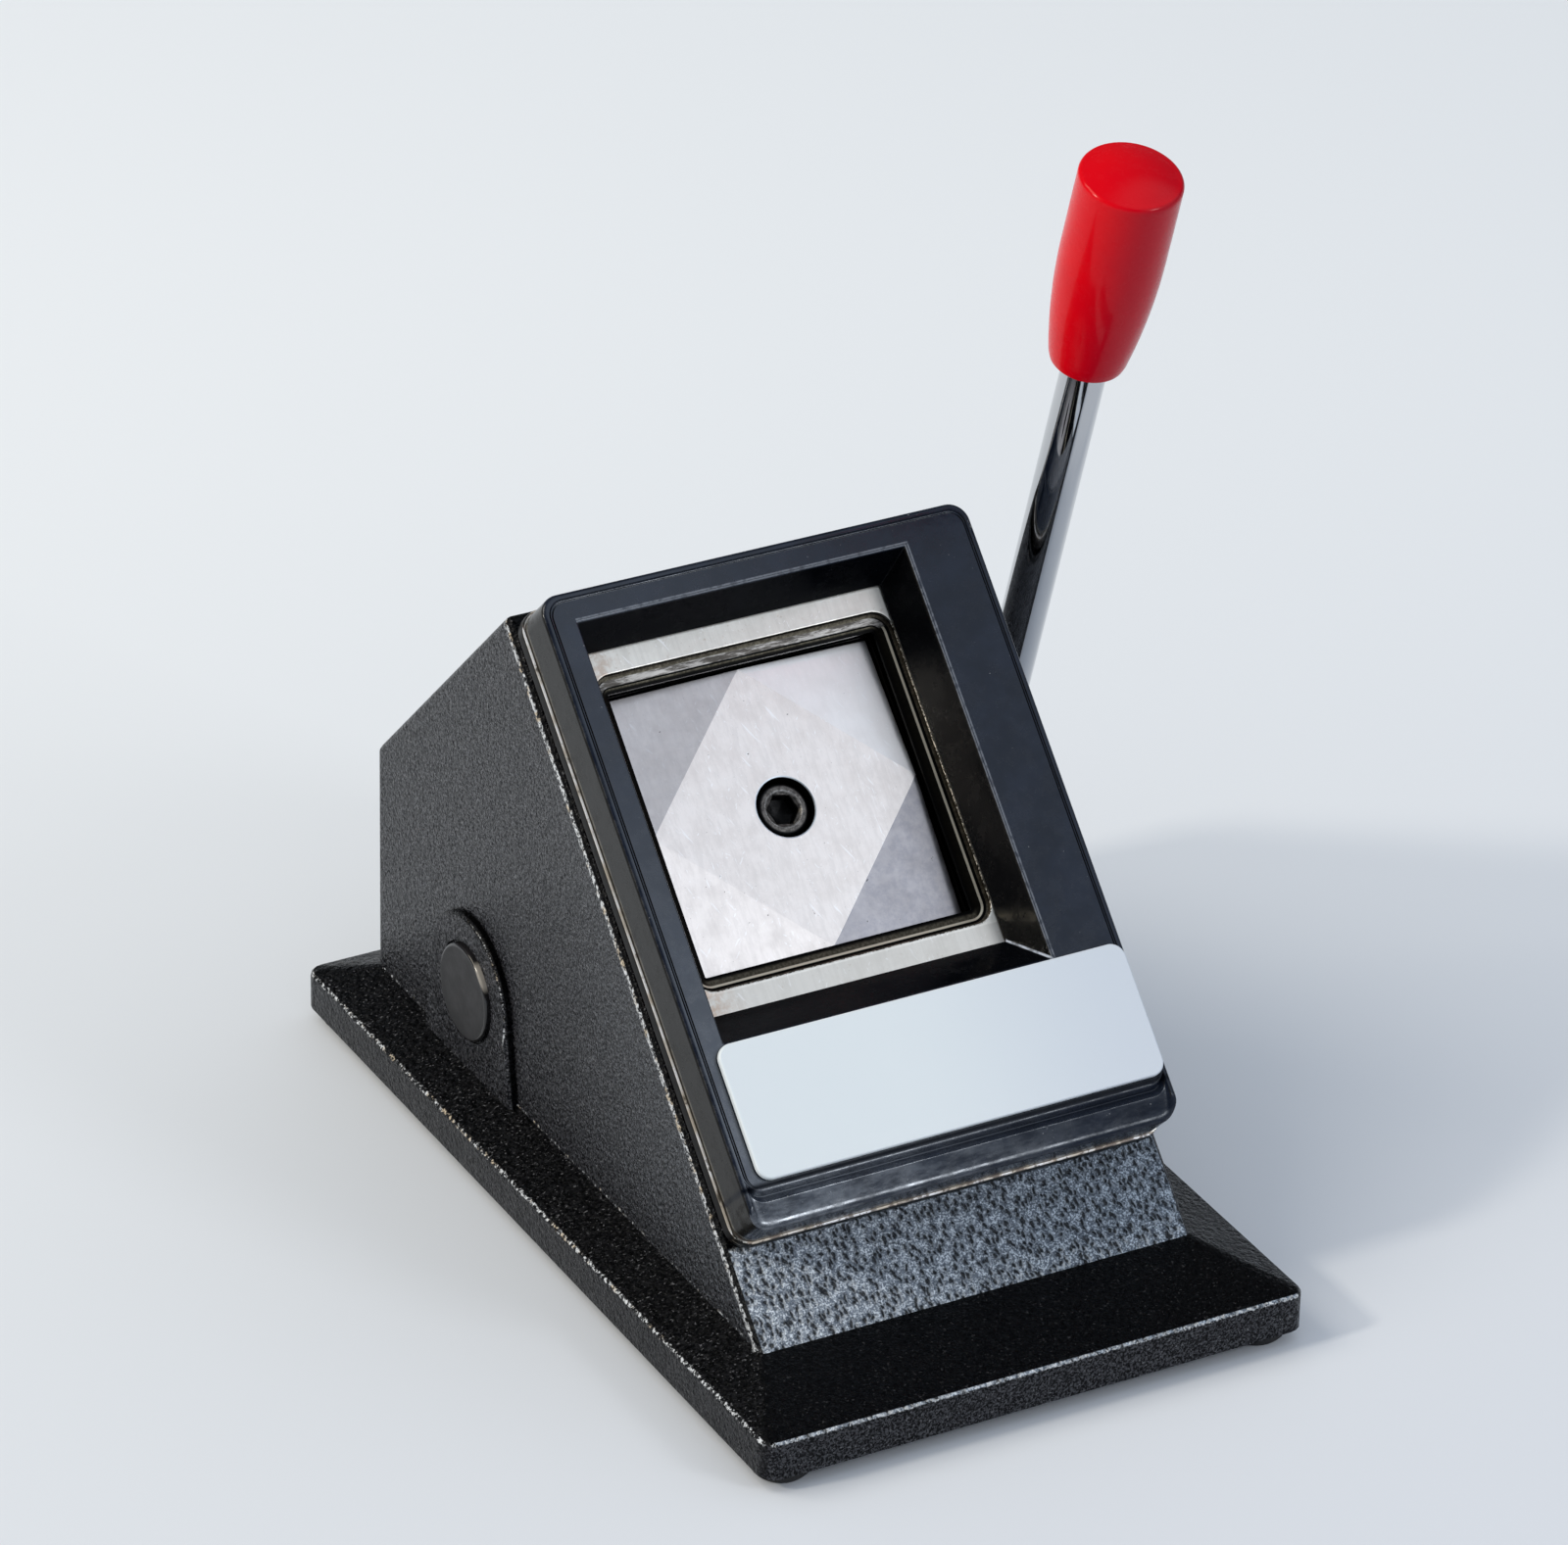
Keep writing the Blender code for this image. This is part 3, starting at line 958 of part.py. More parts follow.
def build():
    clear_scene()
    paint = material("crackle_paint", (0.045, 0.047, 0.05), 0.55, 0.3)
    black = material("black_satin", (0.022, 0.026, 0.032), 0.42, 0.0)
    red = material("red_gloss", (0.62, 0.005, 0.01), 0.12, 0.0)
    chrome = material("chrome", (0.75, 0.76, 0.78), 0.08, 1.0)
    ground = material("ground_steel", (0.55, 0.55, 0.57), 0.32, 1.0)
    steel = material("bright_steel", (0.5, 0.5, 0.51), 0.3, 1.0)
    oxide = material("black_oxide", (0.03, 0.03, 0.03), 0.35, 0.8)
    bronze = material("bronze", (0.55, 0.36, 0.14), 0.35, 1.0)
    rubber = material("rubber", (0.015, 0.015, 0.015), 0.8, 0.0)
    label = material("label_pale", (0.62, 0.72, 0.8), 0.3, 0.0)

    root = frame("casting_frame", (CASTING_X, 0, 0))
    face = frame("face_frame", (0, BODY_FRONT, SKIRT_TOP), (FACE_ANGLE, 0, 0), root)
    punch_frame = frame("punch_frame", (PUNCH_CENTRE_U, PUNCH_CENTRE_V, 0), (0, 0, 0), face)
    shaft_frame = frame("shaft_frame", (0, SHAFT_Y, SHAFT_Z), (0, 0, 0), root)

    make_casting(paint, root, face)
    make_bottom_cover(steel, oxide, root)
    make_feet(rubber, root)
    make_guide_plate(ground, oxide, face)
    make_spacers(steel, face)
    make_die_plate(ground, face)
    make_bezel(black, steel, face)
    make_label_plate(label, face)
    make_guides(oxide, steel, face)
    make_punch(ground, oxide, punch_frame)
    make_ram(steel, bronze, punch_frame)
    make_shaft_line(steel, bronze, black, oxide, shaft_frame)
    make_cam(steel, oxide, shaft_frame)
    make_lever(steel, chrome, red, oxide, shaft_frame)


build()
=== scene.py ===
# %% [markdown]
# # A desk cutter for square passport photos
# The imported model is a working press: a side lever turns a shaft, an involute cam lifts a ram, and a
# square punch rises through a die in a sloping window frame.  Its solids are plain on purpose.  This
# lesson dresses them: finer surfaces where the eye rests, and a real finish on every piece.

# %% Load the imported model
import json
import math
from functools import reduce

import bmesh
import bpy
import numpy as np
from mathutils import Matrix


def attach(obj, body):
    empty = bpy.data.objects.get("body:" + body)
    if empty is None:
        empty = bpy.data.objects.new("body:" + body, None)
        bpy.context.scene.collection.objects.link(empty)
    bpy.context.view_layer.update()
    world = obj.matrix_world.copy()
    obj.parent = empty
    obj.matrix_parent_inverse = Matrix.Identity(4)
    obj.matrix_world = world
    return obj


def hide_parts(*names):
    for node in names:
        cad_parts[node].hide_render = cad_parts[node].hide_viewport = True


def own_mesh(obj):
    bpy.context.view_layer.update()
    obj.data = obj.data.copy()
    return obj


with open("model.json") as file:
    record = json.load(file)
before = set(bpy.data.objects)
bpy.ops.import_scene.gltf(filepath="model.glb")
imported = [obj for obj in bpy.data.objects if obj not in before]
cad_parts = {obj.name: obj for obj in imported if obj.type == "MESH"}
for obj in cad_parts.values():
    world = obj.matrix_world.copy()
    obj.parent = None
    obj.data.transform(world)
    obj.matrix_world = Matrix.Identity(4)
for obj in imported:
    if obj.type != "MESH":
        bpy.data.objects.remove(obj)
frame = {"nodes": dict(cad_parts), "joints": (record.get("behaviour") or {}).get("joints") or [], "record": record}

bpy.context.view_layer.update()
NODES = frame["nodes"]
MM = 0.001

# %% [markdown]
# ## One frame for the sloping face
# Window, die, punch and label all lie on a face that slopes back by 45 degrees.  It is easier to think
# of them in that face's own directions: u across, v up the slope and n out of the face.  A point is the
# foot of the slope plus so much of each direction, and a dot product with the same three directions
# takes any point back.  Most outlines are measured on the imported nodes, so the new pieces fit them.

# %% The sloping frame
SLOPE = math.radians(45)
ACROSS = np.array([1.0, 0.0, 0.0])
UPHILL = np.array([0.0, math.cos(SLOPE), math.sin(SLOPE)])
OUTWARD = np.array([0.0, -math.sin(SLOPE), math.cos(SLOPE)])


def points_of(node):
    """A node's corner points as an array of (x, y, z) rows."""
    mesh = NODES[node].data
    points = np.empty(len(mesh.vertices) * 3, np.float32)
    mesh.vertices.foreach_get("co", points)
    return points.reshape(-1, 3).astype(float)


casting_points = points_of("body_casting")
base_low, base_high = casting_points.min(0), casting_points.max(0)
MIDDLE_X = (base_low[0] + base_high[0]) / 2
FOOT = np.array([MIDDLE_X, base_low[1] + 21.0 * MM, 12.4 * MM])
WALL_HALF = np.ptp(points_of("bezel")[:, 0]) / 2 + 0.5 * MM
JOINTS = {joint["name"]: joint for joint in frame["joints"]}
shaft_y, shaft_z = JOINTS["lever_swing"]["pos_m"][1:]


def on_face(u, v, n):
    """World points of the sloping frame: foot + u across + v uphill + n outward."""
    u, v, n = (np.asarray(a, float)[..., None] for a in np.broadcast_arrays(u, v, n))
    return FOOT + u * ACROSS + v * UPHILL + n * OUTWARD


def to_face(points):
    """Rows of (u, v, n): dot products of (point - foot) with the three directions."""
    return (points - FOOT) @ np.array([ACROSS, UPHILL, OUTWARD]).T


def face_box(node):
    """Lowest and highest (u, v, n) of a node."""
    along = to_face(points_of(node))
    return along.min(0), along.max(0)


punch_low, punch_high = face_box("punch")
PUNCH_U, PUNCH_V = (punch_low[:2] + punch_high[:2]) / 2
print("punch centre (u, v) in mm:", round(PUNCH_U / MM, 2), round(PUNCH_V / MM, 2))

# %% [markdown]
# ## The camera
# A long lens from the front left and above.  The numbers came from fitting a perspective to corners of
# the casting, the window frame and the square punch.  A camera looks down its own -Z, so its matrix is
# made from three columns: right, up, and the reverse of the viewing direction.

# %% Camera
PITCH, YAW, ROLL = math.radians(28.947), math.radians(29.273), math.radians(1.334)
FOCAL, PICTURE_WIDTH = 8208.7, 1600  # both in the picture's pixels
STAND = (MIDDLE_X - 584.9 * MM, -1038.1 * MM, 738.5 * MM)
look = np.array([math.sin(YAW) * math.cos(PITCH), math.cos(YAW) * math.cos(PITCH), -math.sin(PITCH)])
level = np.cross(look, (0, 0, 1))
level /= np.linalg.norm(level)
rise = np.cross(level, look)
lens = bpy.data.cameras.new("camera")
lens.sensor_width = 36.0
lens.lens = FOCAL * lens.sensor_width / PICTURE_WIDTH
camera = bpy.data.objects.new("camera", lens)
bpy.context.scene.collection.objects.link(camera)
pose = np.eye(4)
pose[:3, 0] = math.cos(ROLL) * level + math.sin(ROLL) * rise
pose[:3, 1] = math.cos(ROLL) * rise - math.sin(ROLL) * level
pose[:3, 2] = -look
pose[:3, 3] = STAND
camera.matrix_world = Matrix(pose.tolist())
bpy.context.scene.camera = camera
print("lens in mm:", round(lens.lens, 1))

# %% [markdown]
# ## A kit for finishes
# A finish is a small graph of shader nodes.  Wiring them by hand takes many lines, so this helper adds
# one node at a time and returns its output, which can go straight into the next call like a number.
# A share, below, is a number from 0 to 1 that says how much of something shows at a spot.

# %% Wiring shader nodes
class Wiring:
    """One material under construction; each method adds a node and returns its output."""

    def __init__(self, name, **sockets):
        self.material = bpy.data.materials.new(name)
        self.material.use_nodes = True
        self.tree = self.material.node_tree
        self.shader = self.tree.nodes["Principled BSDF"]
        self.spot = self.add("ShaderNodeTexCoord").outputs["Object"]
        self.set(**sockets)

    def add(self, kind, values=(), **settings):
        """A node with its settings made and its inputs plugged, by order or by name."""
        node = self.tree.nodes.new(kind)
        for key, value in settings.items():
            setattr(node, key, value)
        for index, value in (values.items() if isinstance(values, dict) else enumerate(values)):
            self.plug(node.inputs[index], value)
        return node

    def plug(self, socket, value):
        """Link an output to a socket, or set a plain value on it."""
        if isinstance(value, bpy.types.NodeSocket):
            self.tree.links.new(value, socket)
        elif value is not None:
            socket.default_value = value

    def set(self, **sockets):
        """Plug the shader's sockets, named with _ for a space; three numbers make a colour."""
        for key, value in sockets.items():
            if isinstance(value, tuple) and len(value) == 3:
                value = (*value, 1.0)
            self.plug(self.shader.inputs[key.replace("_", " ")], value)


print("a keyword and its socket: Coat_Weight,", "Coat_Weight".replace("_", " "))

# %% [markdown]
# Shares, numbers and colours need a little arithmetic: shares are multiplied where both must hold, the
# highest is taken where either will do, and a fade turns a distance into a share.  A tone is built like
# paint, in coats: each one covers what lies below it by its share.

# %% Numbers and colours
class Mixing(Wiring):
    """The arithmetic of a finish."""

    def math(self, operation, a, b=None, clamp=False):
        return self.add("ShaderNodeMath", (a, b), operation=operation, use_clamp=clamp).outputs[0]

    def times(self, *shares):
        return reduce(lambda a, b: self.math("MULTIPLY", a, b), shares)

    def highest(self, *shares):
        return reduce(lambda a, b: self.math("MAXIMUM", a, b), shares)

    def vector(self, operation, a, b=None):
        node = self.add("ShaderNodeVectorMath", (a, b), operation=operation)
        return node.outputs["Value" if operation in ("DOT_PRODUCT", "LENGTH") else "Vector"]

    def scaled(self, vector, factor):
        values = {"Vector": vector, "Scale": factor}
        return self.add("ShaderNodeVectorMath", values, operation="SCALE").outputs[0]

    def parts(self, vector):
        """Outputs X, Y and Z of a vector."""
        return self.add("ShaderNodeSeparateXYZ", (vector,)).outputs

    def fade(self, value, start, end, low=0.0, high=1.0):
        """Smooth step: low at start, high at end."""
        values = (value, start, end, low, high)
        return self.add("ShaderNodeMapRange", values, interpolation_type="SMOOTHSTEP").outputs["Result"]

    def within(self, value, low, high, soft):
        """Share of a band from low to high that fades out over a soft margin."""
        return self.times(self.fade(value, low - soft, low), self.fade(value, high + soft, high))

    def mix(self, share, a, b):
        """A number from a to b by a share."""
        return self.add("ShaderNodeMix", {0: share, 2: a, 3: b}, data_type="FLOAT").outputs[0]

    def blend(self, share, a, b):
        """A colour from a to b by a share."""
        node = self.add("ShaderNodeMix", {"Factor": share}, data_type="RGBA")
        for name, colour in (("A", a), ("B", b)):
            socket = next(s for s in node.inputs if s.name == name and s.type == "RGBA")
            self.plug(socket, (*colour, 1.0) if isinstance(colour, tuple) else colour)
        return next(s for s in node.outputs if s.type == "RGBA")

    def coats(self, tone, *coats):
        """A tone under several coats; each (share, colour) covers what lies below it."""
        for share, colour in coats:
            tone = self.blend(share, tone, colour)
        return tone


def toned(colour, factor):
    """A colour made darker or lighter by a factor."""
    return tuple(c * factor for c in colour)


print("half of a mid grey:", toned((0.2, 0.2, 0.2), 0.5))

# %% [markdown]
# ## Patterns
# Noise and cells are the two patterns that everything here is made from.  Their size is written in
# millimetres and turned to the texture's scale, which counts features per metre.  A Mapping node of
# the texture kind turns coordinates back and divides them, so a pattern can be drawn out along the
# slope: that makes grinding lines, streaks and scratches out of plain noise.

# %% Patterns
class Patterns(Mixing):
    """The textures of a finish, with sizes and depths in millimetres."""

    def noise(self, size, detail=3.0, rough=0.55, where=None, warp=0.0):
        values = {"Vector": where or self.spot, "Scale": 1 / (size * MM), "Detail": detail,
                  "Roughness": rough, "Distortion": warp}
        return self.add("ShaderNodeTexNoise", values).outputs["Fac"]

    def cells(self, size, where=None, **settings):
        """Distance to the nearest of many scattered points."""
        values = {"Vector": where or self.spot, "Scale": 1 / (size * MM)}
        return self.add("ShaderNodeTexVoronoi", values, **settings).outputs["Distance"]

    def bump(self, height, depth, strength=1.0):
        """A bump whose full height is depth millimetres."""
        values = {"Strength": strength, "Distance": depth * MM, "Height": height}
        return self.add("ShaderNodeBump", values).outputs["Normal"]

    def place(self, where, turn=(0, 0, 0), stretch=(1, 1, 1)):
        """Coordinates measured from a point, turned back by an angle and divided by a stretch."""
        values = {"Vector": self.spot, "Location": tuple(where), "Rotation": turn, "Scale": stretch}
        return self.add("ShaderNodeMapping", values, vector_type="TEXTURE").outputs["Vector"]

    def along_slope(self, stretch=(1, 1, 1), turn=0):
        """The sloping frame's coordinates, turned by degrees within the face and stretched."""
        return self.place(FOOT, (SLOPE, 0, math.radians(turn)), stretch)


print("noise of 2 mm features has the scale", 1 / (2 * MM))

# %% [markdown]
# ## Where a spot is
# Wear, shade and edges follow the shape, so a finish has to know where it is and which way it faces.
# The distance to a line, a circle or a rectangle says the first, and the surface's own direction says
# the second.  Both come from the object, never from the camera, so they stay put in every view.

# %% Distances and directions
class Finish(Patterns):
    """Adds the distances and directions that tie a finish to the shape."""

    def facing(self, direction, start, end, both=False):
        """Share of what faces a direction (or its reverse too): smooth step on normal . direction."""
        normal = self.add("ShaderNodeNewGeometry").outputs["Normal"]
        along = self.vector("DOT_PRODUCT", normal, tuple(direction))
        return self.fade(self.math("ABSOLUTE", along) if both else along, start, end)

    def from_line(self, point, direction):
        """Distance to a straight line: the length of (spot - point) x direction."""
        away = self.vector("SUBTRACT", self.spot, tuple(point))
        return self.vector("LENGTH", self.vector("CROSS_PRODUCT", away, tuple(direction)))

    def from_segment(self, start, end):
        """Distance to a stretch of line: the spot's foot on it is held between its two ends."""
        start, end = np.array(start, float), np.array(end, float)
        length = float(np.linalg.norm(end - start))
        along = tuple((end - start) / length)
        away = self.vector("SUBTRACT", self.spot, tuple(start))
        foot = self.math("MINIMUM", self.vector("DOT_PRODUCT", away, along), length)
        reached = self.scaled(along, self.math("MAXIMUM", foot, 0.0))
        return self.vector("LENGTH", self.vector("SUBTRACT", away, reached))

    def from_circle(self, centre, radius):
        """Distance to a circle about a line along x, from its miss in radius and its miss in x."""
        away = self.vector("SUBTRACT", self.spot, tuple(centre))
        out = self.vector("LENGTH", self.vector("MULTIPLY", away, (0.0, 1.0, 1.0)))
        miss = (self.math("SUBTRACT", out, radius), self.parts(away)["X"])
        return self.vector("LENGTH", self.add("ShaderNodeCombineXYZ", miss).outputs[0])

    def off_shaft(self, direction=None):
        """How far a spot is from the shaft's line, in one direction or straight out."""
        away = self.vector("SUBTRACT", self.spot, (0.0, shaft_y, shaft_z))
        if direction is not None:
            return self.vector("DOT_PRODUCT", away, direction)
        return self.vector("LENGTH", self.vector("MULTIPLY", away, (0.0, 1.0, 1.0)))

    def on_slope(self):
        """Outputs that hold u, v and n of the sloping frame."""
        return self.parts(self.along_slope())

    def beyond(self, low, high):
        """Distance past a rectangle on the slope: the larger of |u - middle| - half and the same in v."""
        slope = self.on_slope()
        past = []
        for axis in (0, 1):
            middle, half = (low[axis] + high[axis]) / 2, (high[axis] - low[axis]) / 2
            off = self.math("ABSOLUTE", self.math("SUBTRACT", slope[axis], middle))
            past.append(self.math("SUBTRACT", off, half))
        return self.highest(*past)

    def off_screw(self):
        """Distance to the punch screw's axis: the length of (u, v) from the punch's centre."""
        u, v, n = self.on_slope()
        spoke = (self.math("SUBTRACT", u, PUNCH_U), self.math("SUBTRACT", v, PUNCH_V))
        return self.vector("LENGTH", self.add("ShaderNodeCombineXYZ", spoke).outputs[0])


print("a finish has", len([name for name in dir(Finish) if name[0] != "_"]), "kinds of step")

# %% [markdown]
# ## The casting's hammered enamel
# Such housings are cast iron under a thick stoving enamel that draws together into small bumps as it
# dries.  On the flanks the grain is fine.  On the open strip under the window it is coarse, like
# leather: bumps whose blue-grey with fine bright grit is painted sheen, and short dark hollows between
# them painted as shade.  Two small groups of nodes draw the two grains, and the way a face points
# decides which of them it wears.

# %% Two grains
FLANK_CELL, STRIP_CELL = 1.0, 1.4  # mm


def fine_grain(f):
    """Height of the flanks: small cells with grit on them."""
    cells = f.times(f.cells(FLANK_CELL, feature="SMOOTH_F1"), 0.8)
    return f.math("ADD", cells, f.times(f.noise(0.5, 2.0, 0.6), 0.85))


def leather(f):
    """Pits, brow highlights and height: flat cells drawn out and bent; a pit at each centre is painted as shade,
    and its far side gets a painted highlight.
    """
    sway = f.add("ShaderNodeTexNoise", {"Vector": f.spot, "Scale": 520.0}).outputs["Color"]
    where = f.vector("ADD", f.along_slope((0.86, 1.6, 1.0), 20), f.scaled(sway, 1.7 * MM))
    moved = f.vector("ADD", where, (-0.32 * MM, 0.14 * MM, 0.0))
    cells, beside = [f.cells(STRIP_CELL, spot, voronoi_dimensions="2D") for spot in (where, moved)]
    # painted shade in each pit, and a painted highlight on the brow beside it
    pits = f.fade(cells, 0.32, 0.14)
    brow_highlights = f.times(f.fade(beside, 0.34, 0.18), f.fade(cells, 0.24, 0.36))
    dome = f.times(f.fade(cells, 0.08, 0.62), 2.4)
    return pits, brow_highlights, f.math("ADD", dome, f.times(f.noise(0.6, 3.0, 0.65), 1.2))


print(f"two grains: cells of {FLANK_CELL} mm on the flanks, {STRIP_CELL} mm on the strip")

# %% [markdown]
# The rounded edges wear where hands and cloths rub them, and they also catch the lamps in thin
# highlights; both are painted here as pale bare metal.  The edges are straight, so this needs no mask
# drawn in an image: it is the distance to a few lines, broken up by noise into glints.  The front rim
# shows most, the slanted edges thin dashes, the foot of the left flank only a few, and the pads' arches
# a painted highlight in front of the shaft.

# %% Wear and painted highlights along the edges
RIM_X, RIM_Y, RIM_TOP = (base_high[0] - base_low[0]) / 2, base_high[1], 9.7 * MM
TUCK = 0.35 * MM
PAD_EDGE = 14.25 * MM


def wear_and_glint_line(f, point, direction, width, patches, threshold):
    """Glints near a line (or a circle, given its radius), in patches of noise above a threshold."""
    away = (f.from_circle if np.ndim(direction) == 0 else f.from_line)(point, direction)
    ragged = f.times(f.noise(0.55, 2.0, 0.7), 1.1 * width * MM)
    near = f.fade(f.math("SUBTRACT", away, ragged), 0.25 * width * MM, -0.15 * width * MM)
    return f.times(near, f.fade(f.noise(patches, 3.0, 0.75), threshold, threshold + 0.1))


def wear_and_highlights(f):
    """Share of bare metal and painted highlights: front rim, left rim, foot of the left flank, slanted edges,
    pads.
    """
    along_x, along_y = (1, 0, 0), (0, 1, 0)
    marks = [wear_and_glint_line(f, (0, -RIM_Y + TUCK, RIM_TOP - TUCK), along_x, 0.50, 0.6, 0.47),
             wear_and_glint_line(f, (MIDDLE_X - RIM_X + TUCK, 0, RIM_TOP - TUCK), along_y, 0.6, 0.8, 0.50),
             wear_and_glint_line(f, (MIDDLE_X - WALL_HALF, 0, FOOT[2] + 0.2 * MM), along_y, 0.36, 1.4, 0.54)]
    for side, width, threshold in ((-1, 0.9, 0.45), (1, 0.6, 0.58)):
        edge = FOOT + side * WALL_HALF * ACROSS - 1.45 * MM * OUTWARD
        marks.append(wear_and_glint_line(f, edge, UPHILL, width, 0.8, threshold))
    pads = [wear_and_glint_line(f, (MIDDLE_X + side * (WALL_HALF + 1.55 * MM), shaft_y, shaft_z), PAD_EDGE, 0.34, 0.9,
                 0.44) for side in (-1, 1)]
    ahead = f.off_shaft((0.0, -0.80, 0.60))
    marks.append(f.times(f.highest(*pads), f.fade(ahead, 8 * MM, 11 * MM)))
    return f.math("MULTIPLY", f.highest(*marks), 1.0, clamp=True)


print("the rim's edge runs", round((RIM_TOP - TUCK) / MM, 2), "mm above the table")

# %% [markdown]
# One finish covers the whole casting, so it has to know its regions: the leather strip, the skirt on
# top of the flange, the rim below it and the round pads at the shaft.  The walls round a pad and the
# brink beside the window frame are rounded away from the light, so they mirror the dark; that is
# painted as near-black lines of shade.  The pad's outline is an arch over the shaft on two legs that
# flare a little.

# %% The pad's outline
STRIP_TOP = face_box("bezel")[0][1]
PAD_RADIUS, PAD_FOOT = 14.6 * MM, 16.95 * MM


def pad_outline(f):
    """Share of the pads' side walls: near the arch above the shaft's height, near the legs below it."""
    height = f.parts(f.spot)["Z"]
    above = f.fade(height, shaft_z - 1 * MM, shaft_z)
    below = f.fade(height, shaft_z, shaft_z - 1 * MM)
    shares = []
    for x in (MIDDLE_X - WALL_HALF - 0.6 * MM, MIDDLE_X + WALL_HALF + 0.6 * MM):
        lines = [(f.from_circle((x, shaft_y, shaft_z), PAD_RADIUS), above)]
        for way in (-1, 1):
            hip, toe = (x, shaft_y + way * PAD_RADIUS, shaft_z), (x, shaft_y + way * PAD_FOOT, FOOT[2])
            lines.append((f.from_segment(hip, toe), below))
        shares += [f.times(f.fade(away, 0.75 * MM, 0.5 * MM), share) for away, share in lines]
    return f.highest(*shares)


print("pad radius in mm:", round(PAD_RADIUS / MM, 1))

# %% Regions of the casting
def casting_regions(f):
    """Shares of the casting's surface by name, from its place and the way it faces."""
    u, v, n = f.on_slope()
    spot = f.parts(f.spot)
    below_frame = f.times(f.fade(n, -1.2 * MM, -0.4 * MM), f.fade(v, STRIP_TOP + 0.6 * MM, STRIP_TOP))
    upward = f.facing((0, 0, 1), 0.25, 0.6)
    aside = f.facing((1, 0, 0), 0.6, 0.8, both=True)
    wall = f.times(aside, f.fade(spot["Z"], FOOT[2] - 0.1 * MM, FOOT[2] + 0.5 * MM))
    brink = f.times(wall, f.fade(n, -1.55 * MM, -1.2 * MM))
    rim = f.fade(spot["Z"], FOOT[2] - 1.5 * MM, FOOT[2] - 2.0 * MM, 0.0, 0.6)
    return {"front": f.times(f.facing(OUTWARD, 0.93, 0.985), below_frame),
            # share for the painted shade on the strip, which deepens to the right
            "across": f.fade(u, -30 * MM, 30 * MM),
            "upward": upward,
            "leftward": f.facing((-1, 0, 0), 0.1, 0.3),
            "right_skirt": f.times(f.facing((1, 0, 0), 0.1, 0.3), upward),
            "rim_side": f.times(aside, rim),
            "pad_face": f.times(wall, f.fade(f.off_shaft(), 14.2 * MM, 13.6 * MM, 0.0, 0.5)),
            # painted shade: these walls get a near-black tone in painted_tone
            "shaded": f.highest(pad_outline(f), brink),
            "nearer": f.fade(spot["Y"], 20 * MM, -60 * MM),
            "on_wall": f.fade(spot["Z"], 10.5 * MM, 12.5 * MM, -0.35, 2.8)}


print("the leather strip ends at v =", round(STRIP_TOP / MM, 1), "mm")

# %% Tones of the casting
CREST, GLINT = (0.046, 0.046, 0.052), (0.19, 0.19, 0.20)


def painted_tone(f, part, crest):
    """Flanks, skirt and rim: dark enamel with lighter crests and a few painted glints; the skirt painted darker
    where it faces up and lighter where it faces left, darker on the rim's side, and painted shade on the shaded
    walls.
    """
    wall = f.blend(crest, (0.0016, 0.0016, 0.0022), CREST)
    # painted light and shade: the skirt is darker than the walls where it faces up, and lighter where it faces
    # left
    ground = f.blend(part["leftward"], (0.0025, 0.0025, 0.0030), (0.0115, 0.0115, 0.0130))
    lumps = f.fade(f.noise(0.75, 3.0, 0.7, warp=0.5), 0.46, 0.62)
    skirt = f.blend(lumps, (0.0003, 0.0003, 0.0005), ground)
    rare = f.times(part["upward"], f.fade(part["leftward"], 0.0, 1.0, 0.45, 0.0))
    glint = f.times(f.fade(f.noise(0.60, 2.0, 0.6), 0.63, 0.70), f.math("SUBTRACT", 0.6, rare))
    # painted shade: near-black on the pads' outline and the brink beside the frame
    return f.coats(f.blend(part["upward"], wall, skirt),
                   (glint, GLINT),
                   (part["rim_side"], (0.002, 0.002, 0.0024)),
                   (f.times(part["shaded"], 0.85), (0.001, 0.001, 0.001)))


def leather_tone(f, part, pits, brow_highlights):
    """The strip: pale greys in fine grit as painted sheen, painted highlights beside the pits, the pits painted
    black as shade, and painted shade deepening to the right.
    """
    # painted sheen: pale greys that stand for the lamps' sheen on the bumps, darkened to the right as painted
    # shade
    lighter = f.blend(part["across"], (0.84, 0.91, 0.99), (0.56, 0.65, 0.76))
    darker = f.blend(part["across"], (0.200, 0.235, 0.290), (0.110, 0.135, 0.175))
    return f.coats(f.blend(f.fade(f.noise(0.36, 2.0, 0.65), 0.44, 0.64), darker, lighter),
                   # painted highlight on each brow, painted shade in each pit
                   (f.times(brow_highlights, 0.65), (0.70, 0.78, 0.90)),
                   (f.times(pits, 0.93), (0.004, 0.004, 0.005)))


print("a glint is", round(GLINT[0] / CREST[0], 1), "times as pale as a crest")

# %% [markdown]
# Black enamel shows mostly what it mirrors.  So each region gets its own specular level besides its own
# tone: high on the crests near the front, low on the rim, the pads and the shaded walls.

# %% Hammered enamel
LEVELS = {"upward": 0.14, "right_skirt": 0.42, "front": 0.36, "rim_side": 0.08, "pad_face": 0.05,
          "shaded": 0.06}


